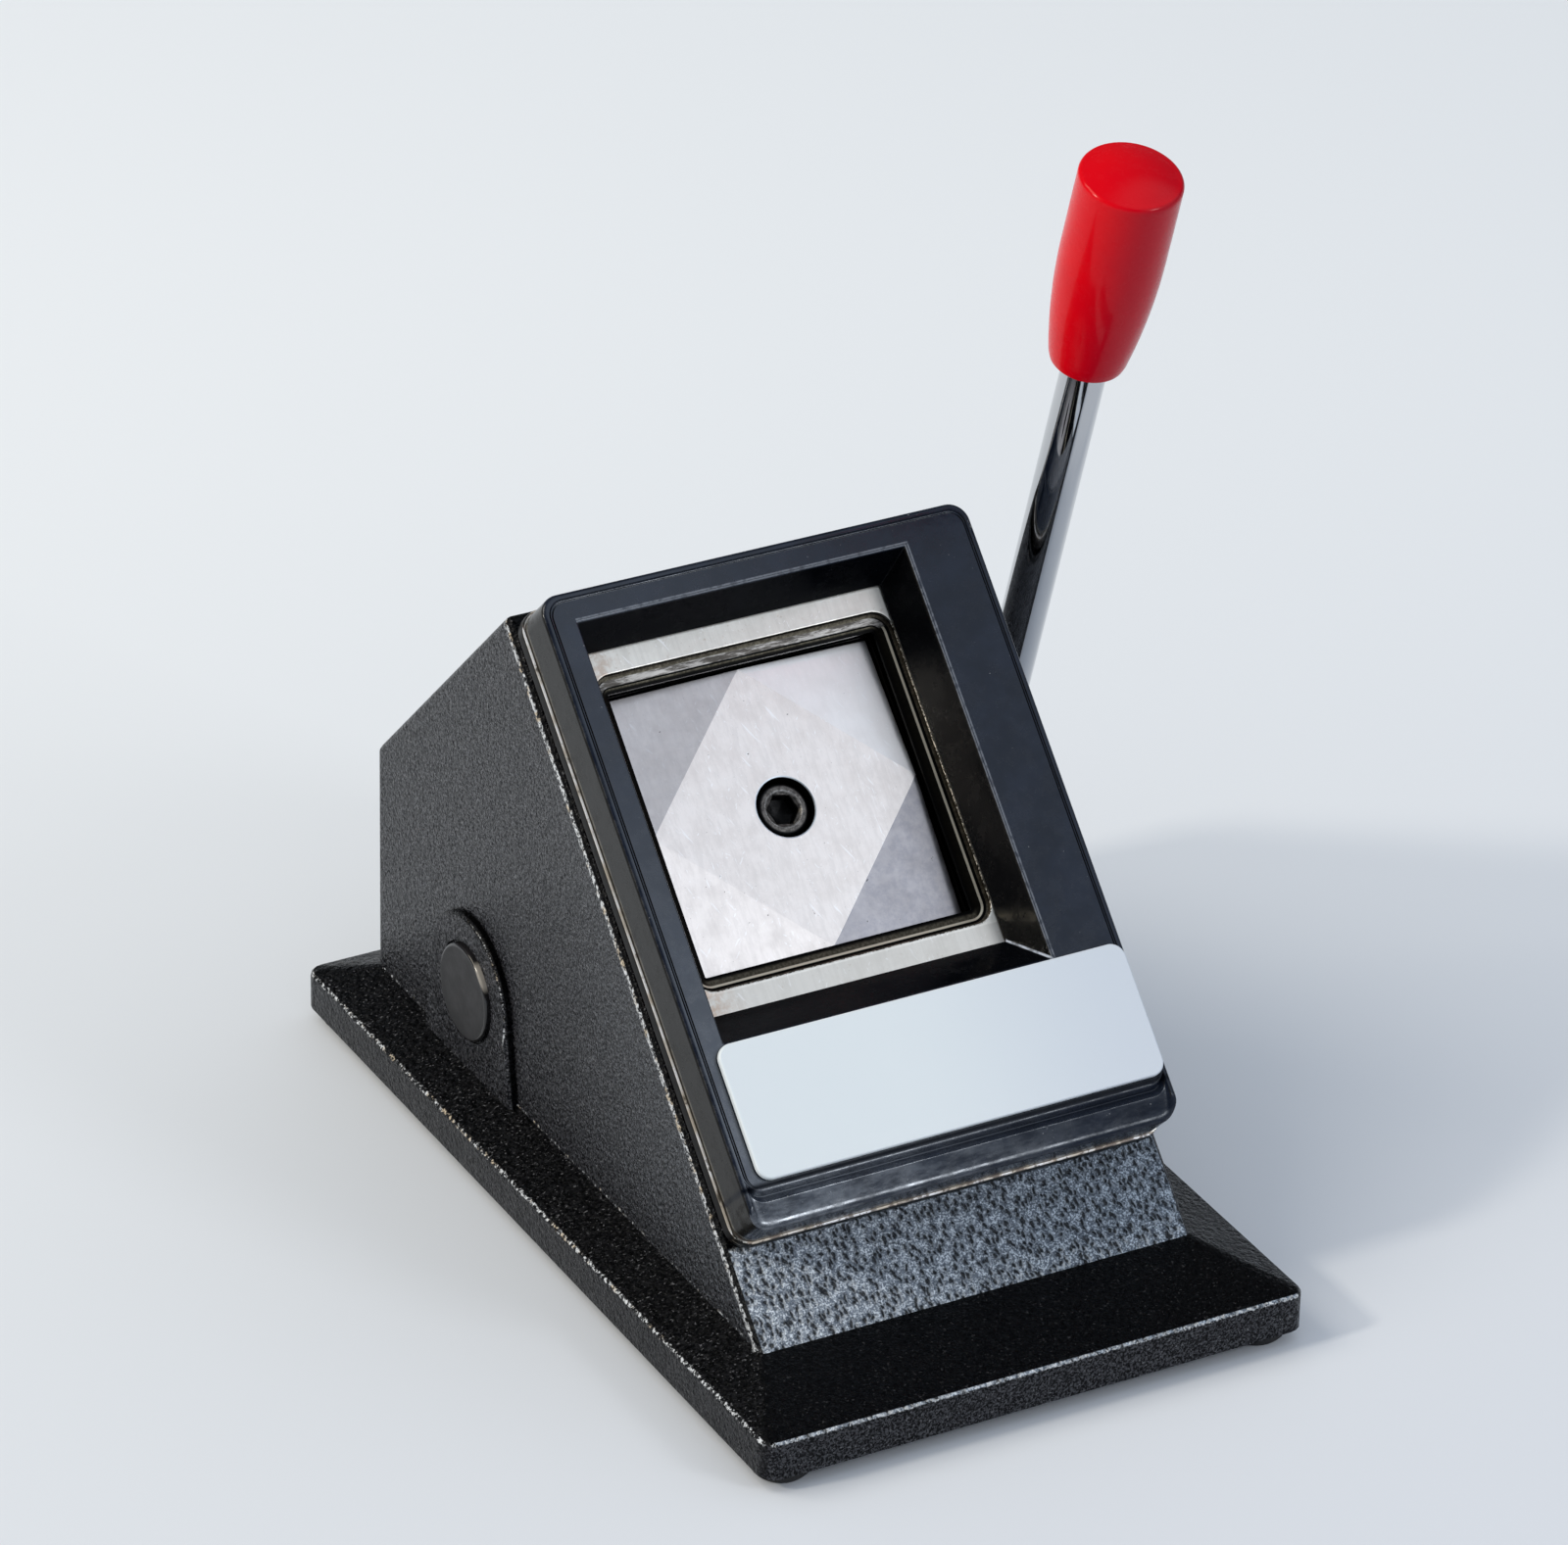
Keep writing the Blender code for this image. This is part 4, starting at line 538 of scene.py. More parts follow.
def hammered_enamel(name):
    f = Finish(name, Metallic=0.0, IOR=1.5, Specular_Tint=(0.88, 0.94, 1.0))
    part = casting_regions(f)
    pits, brow_highlights, domes = leather(f)
    relief = f.bump(f.mix(part["front"], fine_grain(f), domes), 0.36, 0.9)
    f.plug(relief.node.inputs["Distance"], f.mix(part["front"], 0.36 * MM, 0.62 * MM))
    crest = f.fade(f.noise(0.45, 3.0, 0.7, warp=0.5), 0.45, 0.60)
    shine = f.times(f.fade(crest, 0.0, 1.0, 0.13, 0.49),
                    f.math("ADD", f.times(part["nearer"], part["on_wall"]), 1.0))
    for region, level_there in LEVELS.items():
        shine = f.mix(part[region], shine, level_there)
    warm = f.times(f.fade(f.noise(3.0, 2.0), 0.50, 0.64), f.fade(part["nearer"], 1.0, 0.97))
    # bare metal for the wear, which also serves as the painted highlights on the edges
    bare = f.blend(warm, (0.74, 0.76, 0.78), (0.60, 0.50, 0.37))
    tone = f.blend(part["front"], painted_tone(f, part, crest), leather_tone(f, part, pits, brow_highlights))
    f.set(Base_Color=f.blend(f.times(wear_and_highlights(f), 0.9), tone, bare), Specular_IOR_Level=shine,
          Normal=relief, Roughness=f.fade(f.noise(2.4, 2.0), 0.3, 0.7, 0.20, 0.30))
    return f.material


enamel = hammered_enamel("hammered_enamel")
print("enamel nodes:", len(enamel.node_tree.nodes))

# %% [markdown]
# ## Satin black
# The window frame and the end cap are satin black; the frame's has a cold blue tone.  It shows a faint
# orange peel, a few chips on its corners and a mottled sheen on the lower chamfer.  The window's walls
# lie in shade, and that shade is painted: they are painted nearly black.

# %% Satin black
def satin_black(f, colour, rough, chips):
    """Sprayed black: peel, clouds in tone and sheen, pale chips and small dents; returns its tone."""
    cloud = f.fade(f.noise(7.0, 4.0, 0.65), 0.35, 0.7)
    tone = f.blend(cloud, colour, toned(colour, 1.5))
    chip = f.fade(f.noise(0.6, 2.0, 0.6), 0.755, 0.775)
    smear = f.fade(f.noise(4.0, 5.0, 0.72), 0.35, 0.65, rough - 0.07, rough + 0.12)
    dent = f.fade(f.noise(1.7, 3.0, 0.7), 0.70, 0.76)
    height = f.math("SUBTRACT", f.times(f.noise(1.1, 3.0, 0.6), 0.5), dent)
    f.set(Roughness=smear, Normal=f.bump(height, 0.06, 0.6))
    return f.blend(f.times(chip, chips), tone, (0.45, 0.46, 0.47))


frame_low, frame_high = face_box("bezel")
FRAME_BACK, FRAME_FRONT = frame_low[2], frame_high[2]
OPEN_U, OPEN_V = 28.5 * MM, 32.6 * MM
SIDE_SPLAY, TOP_SPLAY, LOW_SPLAY = 2.9 * MM, 3.8 * MM, 6.6 * MM
window_right, window_top = PUNCH_U + OPEN_U + SIDE_SPLAY, PUNCH_V + OPEN_V + TOP_SPLAY
window_left, window_low = PUNCH_U - OPEN_U - SIDE_SPLAY, PUNCH_V - OPEN_V - LOW_SPLAY
window = np.array([window_right - window_left, window_top - window_low])
print("window in mm:", (window / MM).round(1))

# %% [markdown]
# The window's edges catch the light in thin grey lines, which are painted here as highlights: two along
# the top and the right, and a bright one down the mitre of the lower right corner.  A line is the
# distance to a segment, made ragged by noise.

# %% Painted edge highlights
LINE_PLACES = (0.04 * MM, 0.50 * MM)


def edge_highlight_lines(f, tone):
    """Painted highlight lines over a tone, each from a start to an end, with a width in mm and a grey."""
    lines = []
    for out in LINE_PLACES:
        top, right = window_top + out, window_right + out
        corner = on_face(right, top, FRAME_FRONT)
        lines.append((on_face(window_left, top, FRAME_FRONT), corner, 0.22, 0.17))
        lines.append((on_face(right, window_low, FRAME_FRONT), corner, 0.24, 0.17))
    lines.append((on_face(window_right, window_low, FRAME_FRONT),
                  on_face(PUNCH_U + OPEN_U, PUNCH_V - OPEN_V, FRAME_BACK), 0.42, 0.60))
    for start, end, width, grey in lines:
        ragged = f.times(f.noise(1.0, 3.0, 0.7), 0.5 * width * MM)
        away = f.math("SUBTRACT", f.from_segment(start, end), ragged)
        near = f.fade(away, 0.6 * width * MM, 0.2 * width * MM)
        near = f.times(near, f.fade(f.noise(1.6, 2.0, 0.6), 0.36, 0.52, 0.35, 0.9))
        tone = f.blend(near, tone, (grey * 0.88, grey * 0.96, grey * 1.12))
    return tone


print("the two lines lie", round((LINE_PLACES[1] - LINE_PLACES[0]) / MM, 2), "mm apart")

# %% The frame's finish
def frame_finish():
    f = Finish("satin_black_frame", IOR=1.5, Specular_Tint=(0.88, 0.93, 1.0))
    tone = satin_black(f, (0.0072, 0.0102, 0.0185), 0.20, 0.6)
    u, v, n = f.on_slope()
    # painted shade: the window's walls and the strip below the label are painted darker; painted light: the
    # left-facing flank a warmer, lighter grey, and the frame's foot a pale brown as a painted reflection of the
    # die's bright edge
    inside = f.fade(f.beyond((window_left, window_low), (window_right, window_top)), 0.0, -0.25 * MM)
    flank = f.facing((-1, 0, 0), 0.55, 0.80)
    foot = f.times(f.fade(n, FRAME_BACK + 1.0 * MM, FRAME_BACK + 0.5 * MM), f.fade(inside, 1.0, 0.0),
                   f.fade(f.noise(2.4, 3.0, 0.6), 0.36, 0.50, 0.3, 0.9))
    label_foot = face_box("label_plate")[0][1]
    below = f.times(f.fade(v, label_foot + 0.5 * MM, label_foot - 0.5 * MM),
                    f.fade(v, frame_low[1] + 6.2 * MM, frame_low[1] + 7.0 * MM))
    tone = f.coats(tone, (flank, (0.0110, 0.0105, 0.0095)),
                   (foot, (0.105, 0.098, 0.082)),
                   (f.times(inside, 0.95), (0.0010, 0.0012, 0.0018)),
                   (below, (0.0022, 0.0034, 0.0068)))
    sheen = f.times(f.fade(u, 34 * MM, -36 * MM), f.fade(v, 112 * MM, 20 * MM, 0.32, 1.25))
    shine = f.fade(inside, 0.0, 1.0, f.math("ADD", sheen, 0.31), 0.05)
    shine = f.mix(below, f.mix(flank, shine, 0.20), 0.13)
    streaks = f.fade(f.noise(2.4, 5.0, 0.72, f.along_slope((3.0, 1.0, 1.0))), 0.36, 0.64, 0.45, 1.35)
    chamfer = f.fade(v, frame_low[1] + 5.6 * MM, frame_low[1] + 5.0 * MM)
    shine = f.mix(chamfer, shine, f.times(shine, streaks))
    f.set(Base_Color=edge_highlight_lines(f, tone), Specular_IOR_Level=shine)
    return f.material


def cap_finish():
    """The cap's matt face, and a glossier rim with a pale crescent painted on it as a highlight."""
    f = Finish("satin_black_cap", IOR=1.5)
    tone = satin_black(f, (0.0105, 0.0100, 0.0108), 0.36, 0.0)
    rim = f.fade(f.off_shaft(), 8.30 * MM, 8.45 * MM)
    # painted highlight: a pale crescent on the rim, where the lamp would catch it
    crescent = f.times(rim, f.fade(f.off_shaft((0.0, -0.70, 0.714)), 8.3 * MM, 8.75 * MM), 0.9)
    matt = f.fade(f.noise(4.0, 5.0, 0.72), 0.35, 0.65, 0.33, 0.42)
    f.set(Base_Color=f.blend(crescent, tone, (0.36, 0.33, 0.29)), Roughness=f.mix(rim, matt, 0.17),
          Specular_IOR_Level=f.fade(rim, 0.0, 1.0, 0.21, 0.6))
    return f.material


bezel_black = frame_finish()
cap_black = cap_finish()
print("frame nodes:", len(bezel_black.node_tree.nodes))

# %% [markdown]
# ## Red gloss and chrome
# The grip is dipped red plastic with a clear gloss, and its side that turns away from the lamps is painted
# a deeper crimson as shade.  The lever is polished chrome, whose look is nearly all reflection, so its
# finish only needs a hair of roughness from wiping marks.

# %% Red gloss
def red_gloss(name):
    """Dipped red plastic under a thin clear skin, painted crimson as shade where it faces right, forward and down.
    """
    f = Finish(name, IOR=1.45, Coat_Weight=0.22, Coat_Roughness=0.05, Specular_IOR_Level=0.09)
    red = f.blend(f.noise(11.0, 2.0, 0.5), (0.74, 0.0, 0.004), (0.64, 0.0, 0.008))
    # painted shade: a deeper crimson on the side that faces away from the lamps
    away = f.times(f.facing((0.80, -0.60, -0.35), -0.45, 0.75), 0.9)
    f.set(Base_Color=f.blend(away, red, (0.40, 0.0005, 0.012)),
          Roughness=f.fade(f.noise(2.5, 4.0, 0.7), 0.4, 0.7, 0.22, 0.34),
          Normal=f.bump(f.noise(7.0, 1.0, 0.4), 0.05, 0.6))
    return f.material


grip_red = red_gloss("red_gloss")
print(grip_red.name, "nodes:", len(grip_red.node_tree.nodes))

# %% Chrome
def polished_chrome(name):
    f = Finish(name, Metallic=1.0)
    haze = f.fade(f.noise(6.0, 4.0, 0.7), 0.35, 0.75, 0.03, 0.10)
    tint = f.blend(f.noise(14.0, 2.0), (0.59, 0.595, 0.61), (0.51, 0.525, 0.55))
    f.set(Base_Color=tint, Roughness=haze, Normal=f.bump(f.noise(12.0, 1.0), 0.02, 0.4))
    return f.material


chrome = polished_chrome("polished_chrome")
print(chrome.name, "nodes:", len(chrome.node_tree.nodes))

# %% [markdown]
# ## Ground steel
# The die and the punch were hardened and then ground flat, which leaves fine lines in one direction,
# a soft grey mottle from handling, and short scratches where photographs and tweezers slid.  Lines are
# noise squeezed along one axis.

# %% Ground steel
SCRATCHES = ((0.7, 38, 20.0), (0.5, -61, 9.0), (0.45, 4, 7.0), (0.4, 80, 6.0))  # size, degrees, stretch


def ground_steel(name, tint, lines):
    """Returns the finish and its tone, for the die and the punch to add their own marks."""
    f = Finish(name, Metallic=1.0)
    grind = f.noise(1.1, 4.0, 0.75, f.along_slope(lines))
    mottle = f.noise(4.5, 5.0, 0.7)
    scratches = [f.fade(f.noise(size, 2.0, 0.5, f.along_slope((1.0, long, 1.0), turn)), 0.68, 0.75)
                 for size, turn, long in SCRATCHES]
    speck = f.fade(f.noise(0.55, 3.0, 0.7), 0.69, 0.74)
    tone = f.coats(f.blend(f.fade(mottle, 0.38, 0.66), tint, toned(tint, 0.93)),
                   (f.times(f.fade(grind, 0.42, 0.62), 0.4), toned(tint, 0.80)),
                   (f.times(f.highest(*scratches), 0.55), (0.95, 0.95, 0.97)),
                   (f.times(speck, 0.7), toned(tint, 0.42)))
    height = f.math("ADD", grind, f.times(mottle, 0.4))
    f.set(Roughness=f.fade(mottle, 0.3, 0.7, 0.32, 0.43), Normal=f.bump(height, 0.02, 0.5))
    return f, tone


DIE_TOP = face_box("die_plate")[1][2]
DIE_LAND = face_box("die_plate")[0][2] + 0.6 * MM
HEAD_TOP = face_box("punch_screw")[1][2]
print("die top stands", round(DIE_TOP / MM, 2), "mm out of the slope")

# %% [markdown]
# The die shows twice.  Outside the frame only its ledge is seen: a side wall painted dark as shade, and
# a painted highlight along its edge, silver with straw tints and a few brown gaps along the front.
# Inside the window the relief steps down to the cut, and every step has its own band, so there the
# depth n picks the colour.

# %% The die's outer edge
def outer_edge(f, n):
    """Shares of the ledge outside the frame: all of it, its side wall painted dark as shade, and a painted
    highlight along its edge.
    """
    past = f.beyond(frame_low, frame_high)
    ledge = f.fade(past, -0.3 * MM, 0.0)
    # painted shade on the ledge's side wall
    side = f.times(ledge, f.fade(n, DIE_TOP - 0.22 * MM, DIE_TOP - 0.34 * MM))
    breaks = f.fade(f.noise(3.5, 4.0, 0.7), 0.34, 0.44, 0.25, 1.0)
    # painted highlight along the ledge's edge, broken in places
    bright = f.times(f.fade(past, 0.02 * MM, 0.08 * MM),
                     f.fade(n, DIE_TOP - 0.24 * MM, DIE_TOP - 0.16 * MM))
    return ledge, side, f.times(bright, breaks)


def line_tone(f, v):
    """Colour of the painted highlight along the edge: silver to straw, with brown gaps in front of the frame."""
    lined = f.blend(f.fade(f.noise(6.0, 2.0), 0.42, 0.60), (0.86, 0.86, 0.87), (0.52, 0.46, 0.38))
    front = f.fade(v, frame_low[1] + 1.0 * MM, frame_low[1])
    gaps = f.times(front, f.fade(f.noise(1.6, 3.0, 0.7), 0.54, 0.44))
    return f.blend(f.times(gaps, 0.85), lined, (0.085, 0.055, 0.045))


print("the ledge stands out", round((face_box("die_plate")[1][0] - frame_high[0]) / MM, 2), "mm")

# %% The die's relief
BLACK = (0.004, 0.004, 0.004)


def relief_tone(f, u, n, top):
    """Colour of the relief by depth: olive wall and ledge, black bands of painted shade above the cut, on the side
    ledges and under the lip, and pale bands and streaks of painted highlight; top is the upper side's share.
    """
    side = f.fade(f.math("ABSOLUTE", f.math("SUBTRACT", u, PUNCH_U)), 25.4 * MM, 26.4 * MM)
    grain = f.fade(f.noise(0.5, 4.0, 0.7), 0.38, 0.66)
    olive = f.blend(grain, (0.050, 0.046, 0.034), (0.115, 0.105, 0.080))
    # painted shade: black above the cut, and near-black on the side ledges
    ledge = f.blend(f.fade(n, DIE_LAND + 0.12 * MM, DIE_LAND + 0.30 * MM), BLACK, olive)
    ledge = f.blend(f.times(side, 0.94), ledge, (0.004, 0.0035, 0.003))
    wall = f.blend(grain, (0.055, 0.047, 0.036), (0.130, 0.115, 0.088))
    tone = f.blend(f.fade(n, DIE_LAND + 0.74 * MM, DIE_LAND + 0.80 * MM), ledge, wall)
    streak = f.fade(f.noise(0.8, 4.0, 0.75, f.along_slope((7.0, 1.0, 1.0))), 0.42, 0.60)
    streak = f.blend(streak, (0.060, 0.055, 0.050), (0.30, 0.29, 0.28))
    below = f.fade(top, 1.0, 0.0)
    # painted highlights and shade: a pale band and a black line on the sides and bottom, a black line and pale
    # streaks on the top
    bands = ((below, 0.50, 0.62, (0.62, 0.57, 0.46)), (below, 0.62, 0.76, (0.003, 0.003, 0.003)),
             (top, 0.27, 0.34, BLACK), (top, 0.36, 0.66, streak))
    for share, low, high, colour in bands:
        band = f.within(n, DIE_LAND + low * MM, DIE_LAND + high * MM, 0.03 * MM)
        tone = f.blend(f.times(band, share), tone, colour)
    # painted shade: a black band under the lip
    return f.blend(f.fade(n, DIE_TOP - 0.72 * MM, DIE_TOP - 0.62 * MM), tone, BLACK)


print("the relief is", round((DIE_TOP - DIE_LAND) / MM, 2), "mm deep")

# %% The die's finish
def die_finish():
    """Bright ground face with brown stains; below it the relief, outside it the edge with its painted highlight.
    """
    f, tone = ground_steel("ground_steel_die", (0.73, 0.71, 0.665), (1.0, 26.0, 1.0))
    u, v, n = f.on_slope()
    top = f.fade(v, PUNCH_V + 25.7 * MM, PUNCH_V + 26.3 * MM)
    stain = f.fade(f.noise(1.6, 5.0, 0.75), 0.60, 0.70)
    lower_land = f.fade(v, PUNCH_V - 28.9 * MM, PUNCH_V - 29.2 * MM)
    rust = f.times(f.fade(u, PUNCH_U - 20 * MM, PUNCH_U - 28 * MM),
                   f.fade(f.noise(2.2, 5.0, 0.75), 0.40, 0.62))
    under = f.fade(n, DIE_TOP - 0.26 * MM, DIE_TOP - 0.34 * MM)
    # painted highlight: bright beads along the relief's lip, painted dark as shade on its upper side
    lip = f.times(f.fade(n, DIE_TOP - 0.04 * MM, DIE_TOP - 0.08 * MM), f.math("SUBTRACT", 1.0, under))
    bead = f.blend(f.fade(f.noise(0.4, 2.0, 0.6), 0.44, 0.53), (0.02, 0.018, 0.015), (0.97, 0.94, 0.86))
    ledge, side, bright = outer_edge(f, n)
    tone = f.coats(tone, (f.times(stain, 0.34), (0.34, 0.22, 0.14)),
                   (f.times(lower_land, 0.45), (0.42, 0.40, 0.38)),
                   (f.times(rust, 0.55), (0.38, 0.22, 0.13)),
                   (under, relief_tone(f, u, n, top)),
                   (lip, f.blend(top, bead, (0.030, 0.028, 0.026))),
                   (ledge, (0.20, 0.165, 0.13)),
                   (side, (0.006, 0.005, 0.0045)),
                   (bright, line_tone(f, v)))
    f.set(Base_Color=tone, Metallic=f.fade(bright, 0.0, 1.0, 1.0, 0.25))
    return f.material


die_steel = die_finish()
print("die nodes:", len(die_steel.node_tree.nodes))

# %% [markdown]
# The punch's four corner facets are ground at a slant, so they catch the light differently, and their
# tones are painted as well: the mesh carries a number per facet, and the finish paints shade or a
# highlight from it.  Round the screw the counterbore's chamfer is painted pale as a highlight and the
# gap inside it dark as shade, both rings about its axis.

# %% Punch and screw
def punch_finish():
    """Fine scratches all over; painted shade on a facet with a positive number, a painted highlight on one with a
    negative.
    """
    f, tone = ground_steel("ground_steel_punch", (0.82, 0.77, 0.75), (1.0, 5.0, 1.0))
    facet = f.add("ShaderNodeAttribute", attribute_name="facet").outputs["Fac"]
    cloud = f.fade(f.noise(1.8, 4.0, 0.7), 0.35, 0.7, 0.86, 1.0)
    out = f.off_screw()
    nick = f.fade(f.noise(1.3, 3.0, 0.75), 0.715, 0.745)
    # painted shade and highlights on the facets, a painted highlight on the counterbore's chamfer, painted shade
    # in the gap inside it
    f.set(Base_Color=f.coats(tone, (f.math("MULTIPLY", facet, cloud, clamp=True), (0.280, 0.278, 0.310)),
                             (f.math("MULTIPLY", facet, -1.0, clamp=True), (0.95, 0.95, 0.96)),
                             (f.fade(out, 5.62 * MM, 5.52 * MM), (0.80, 0.88, 0.95)),
                             (f.fade(out, 5.36 * MM, 5.31 * MM), (0.02, 0.02, 0.022)),
                             (f.times(nick, 0.85), (0.03, 0.03, 0.035))))
    return f.material


def head_finish():
    """Black oxide of the socket screw: a brownish grey face, its outer rim painted dark as shade, a painted
    highlight round the socket, and painted shade deepening into the socket.
    """
    f = Finish("black_oxide_head", Metallic=0.7)
    n, out = f.on_slope()["Z"], f.off_screw()
    smudge = f.fade(f.noise(0.7, 4.0, 0.75), 0.38, 0.64)
    edge = f.times(f.within(out, 3.20 * MM, 3.35 * MM, 0.15 * MM), f.fade(smudge, 0.0, 1.0, 0.3, 0.9))
    # painted shade on the outer rim and down the socket, a painted highlight round the socket's rim
    tone = f.coats(f.blend(smudge, (0.050, 0.046, 0.044), (0.150, 0.140, 0.132)),
                   (f.fade(out, 3.9 * MM, 4.25 * MM), (0.006, 0.006, 0.007)),
                   (edge, (0.42, 0.41, 0.40)),
                   (f.fade(n, HEAD_TOP - 0.2 * MM, HEAD_TOP - 0.6 * MM), (0.002, 0.002, 0.0025)))
    f.set(Base_Color=tone, Roughness=f.fade(f.noise(2.0, 4.0, 0.7), 0.3, 0.7, 0.28, 0.42),
          Normal=f.bump(smudge, 0.03, 0.6))
    return f.material


punch_steel = punch_finish()
head_black = head_finish()
print("punch nodes:", len(punch_steel.node_tree.nodes))

# %% [markdown]
# ## Turned steel, bronze, rubber and the label
# The inner pieces are turned, so their lines run round them: noise that is squeezed across x.  Zinc,
# black oxide and sintered bronze share one recipe with their own tints.  The feet are moulded rubber
# with a fine grain.  The label place is a pale satin plastic, with painted shade that deepens a little
# to the right.

# %% Turned metals
def turned_steel(name, tint, rough=0.3, metal=1.0, ring=0.35):
    """Turned metal: ring lines in gloss and bump, clouds in the tone, and small dark pits."""
    f = Finish(name, Metallic=metal)
    turn = f.noise(ring, 3.0, 0.7, f.place((0, 0, 0), stretch=(1.0, 9.0, 9.0)))
    pit = f.fade(f.noise(0.8, 4.0, 0.8), 0.68, 0.76)
    tone = f.blend(f.fade(f.noise(4.0, 4.0, 0.7), 0.35, 0.7), tint, toned(tint, 0.75))
    f.set(Base_Color=f.blend(f.times(pit, 0.5), tone, toned(tint, 0.35)),
          Roughness=f.fade(turn, 0.3, 0.7, rough - 0.07, rough + 0.1), Normal=f.bump(turn, 0.015, 0.6))
    return f.material


bright_steel = turned_steel("zinc_plated_steel", (0.62, 0.63, 0.65))
black_oxide = turned_steel("black_oxide", (0.045, 0.045, 0.05), 0.38, 0.8)
bronze = turned_steel("sintered_bronze", (0.55, 0.36, 0.16), 0.42, 1.0, 0.25)
print("turned metals:", bright_steel.name, black_oxide.name, bronze.name)

# %% Rubber and label
def foot_finish(name, colour, rough):
    """Moulded rubber: a fine grain, a slight cloud in the tone and in the gloss."""
    f = Finish(name)
    cloud = f.noise(6.0, 4.0, 0.7)
    dusty = tuple(c * 1.12 + 0.004 for c in colour)
    f.set(Base_Color=f.blend(f.fade(cloud, 0.35, 0.7), colour, dusty),
          Roughness=f.fade(cloud, 0.3, 0.7, rough - 0.05, rough + 0.06),
          Normal=f.bump(f.noise(0.5, 3.0, 0.6), 0.06, 0.6))
    return f.material


def label_finish(name):
    """Pale satin plastic: even, with painted shade that deepens a little to the right, and hairline wiping marks.
    """
    f = Finish(name)
    # painted shade: the tone darkens towards the right
    drift = f.fade(f.parts(f.spot)["X"], MIDDLE_X - 10 * MM, MIDDLE_X + 42 * MM)
    tone = f.blend(drift, (0.765, 0.82, 0.85), (0.64, 0.69, 0.76))
    wipe = f.noise(1.4, 3.0, 0.6, f.along_slope((1.0, 12.0, 1.0), 70))
    f.set(Base_Color=f.blend(f.times(f.noise(9.0, 3.0, 0.6), 0.08), tone, (0.62, 0.68, 0.76)),
          Roughness=f.fade(wipe, 0.3, 0.7, 0.30, 0.38), Normal=f.bump(wipe, 0.004, 0.4))
    return f.material


foot_rubber = foot_finish("foot_rubber", (0.012, 0.012, 0.013), 0.78)
label_face = label_finish("label_plastic")
print("soft finishes:", foot_rubber.name, label_face.name)

# %% [markdown]
# ## Surfaces from stacks of loops
# Almost every piece here is a stack of closed loops: a rounded rectangle or a circle, repeated at
# different sizes and heights.  The loops come as one array, rows by points by three, and the faces
# between them follow from index arithmetic, with no Python loop over vertices.  A stack is closed by a
# lid at each end, or by joining its last loop to its first, like a ring.

# %% Stacks of loops
WELD = 0.002 * MM


def quads(rows, count, ring=False):
    """Corner numbers of the faces between each loop and the next: r*count + c and its neighbours."""
    r, c = np.meshgrid(np.arange(rows if ring else rows - 1), np.arange(count), indexing="ij")
    up, on = (r + 1) % rows, (c + 1) % count
    return np.stack([r * count + c, r * count + on, up * count + on, up * count + c], -1).reshape(-1, 4)


def stack(loops, ring=False):
    """Points and faces of a stack of loops, with a lid at each end unless it is a ring."""
    loops = np.asarray(loops, float)
    rows, count = loops.shape[:2]
    faces = quads(rows, count, ring).tolist()
    if not ring:
        faces += [list(range(count))[::-1], list(range((rows - 1) * count, rows * count))]
    return loops.reshape(-1, 3), faces


print("a ring of 3 loops of 4 points has", len(quads(3, 4, True)), "faces")

# %% [markdown]
# A stack becomes a piece in a few fixed steps: its doubled points are welded, its faces are turned
# outwards, and edges above an angle stay sharp.  Then it hides the imported node it stands for, takes its
# finish and rides on the same body, so it moves when the lever does.

# %% From a stack to a piece
BODY_OF = {node: body for body, nodes in frame["record"]["behaviour"]["bodies"].items() for node in nodes}
SLOT_OF = {part["node"]: part["material_slot"] for part in frame["record"]["subparts"]}


def piece(name, shape, finish, node, sharp=32.0):
    """One object from a shape, welded and turned outwards, that stands for a node."""
    points, faces = shape
    mesh = bpy.data.meshes.new(name)
    mesh.from_pydata(points.tolist(), [], faces)
    bm = bmesh.new()
    bm.from_mesh(mesh)
    bmesh.ops.remove_doubles(bm, verts=bm.verts, dist=WELD)
    bmesh.ops.dissolve_degenerate(bm, edges=bm.edges, dist=WELD)
    bmesh.ops.recalc_face_normals(bm, faces=bm.faces)
    return even_shading(settle(name, mesh, bm, finish, node, sharp))


def settle(name, mesh, bm, finish, node, sharp):
    """Finish a mesh and its object: smooth it, link it, and give it its material and body."""
    bm.to_mesh(mesh)
    bm.free()
    if "custom_normal" in mesh.attributes:
        mesh.attributes.remove(mesh.attributes["custom_normal"])
    mesh.shade_smooth()
    mesh.set_sharp_from_angle(angle=math.radians(sharp))
    mesh.materials.clear()
    mesh.materials.append(finish)
    obj = bpy.data.objects.new(name, mesh)
    bpy.context.scene.collection.objects.link(obj)
    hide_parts(node)
    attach(obj, BODY_OF[node])
    print(f"{obj.name}: {len(mesh.vertices)} points")
    return obj


def even_shading(obj):
    """Let the large flat faces rule the shading, so that only the narrow rounds curve."""
    modifier = obj.modifiers.new("even_shading", "WEIGHTED_NORMAL")
    modifier.keep_sharp = True
    modifier.weight = 100
    return obj


print("material slots in the record:", len(set(SLOT_OF.values())))

# %% [markdown]
# Loops are drawn with angles.  A turned piece is a profile of radius and height that becomes one circle
# for each of its points, and a fillet is a quarter round in such a profile.

# %% Arcs, turned shapes and fillets
def arc(start, end, steps):
    """Angles from start to end in degrees, as radians."""
    return np.radians(np.linspace(start, end, steps + 1))


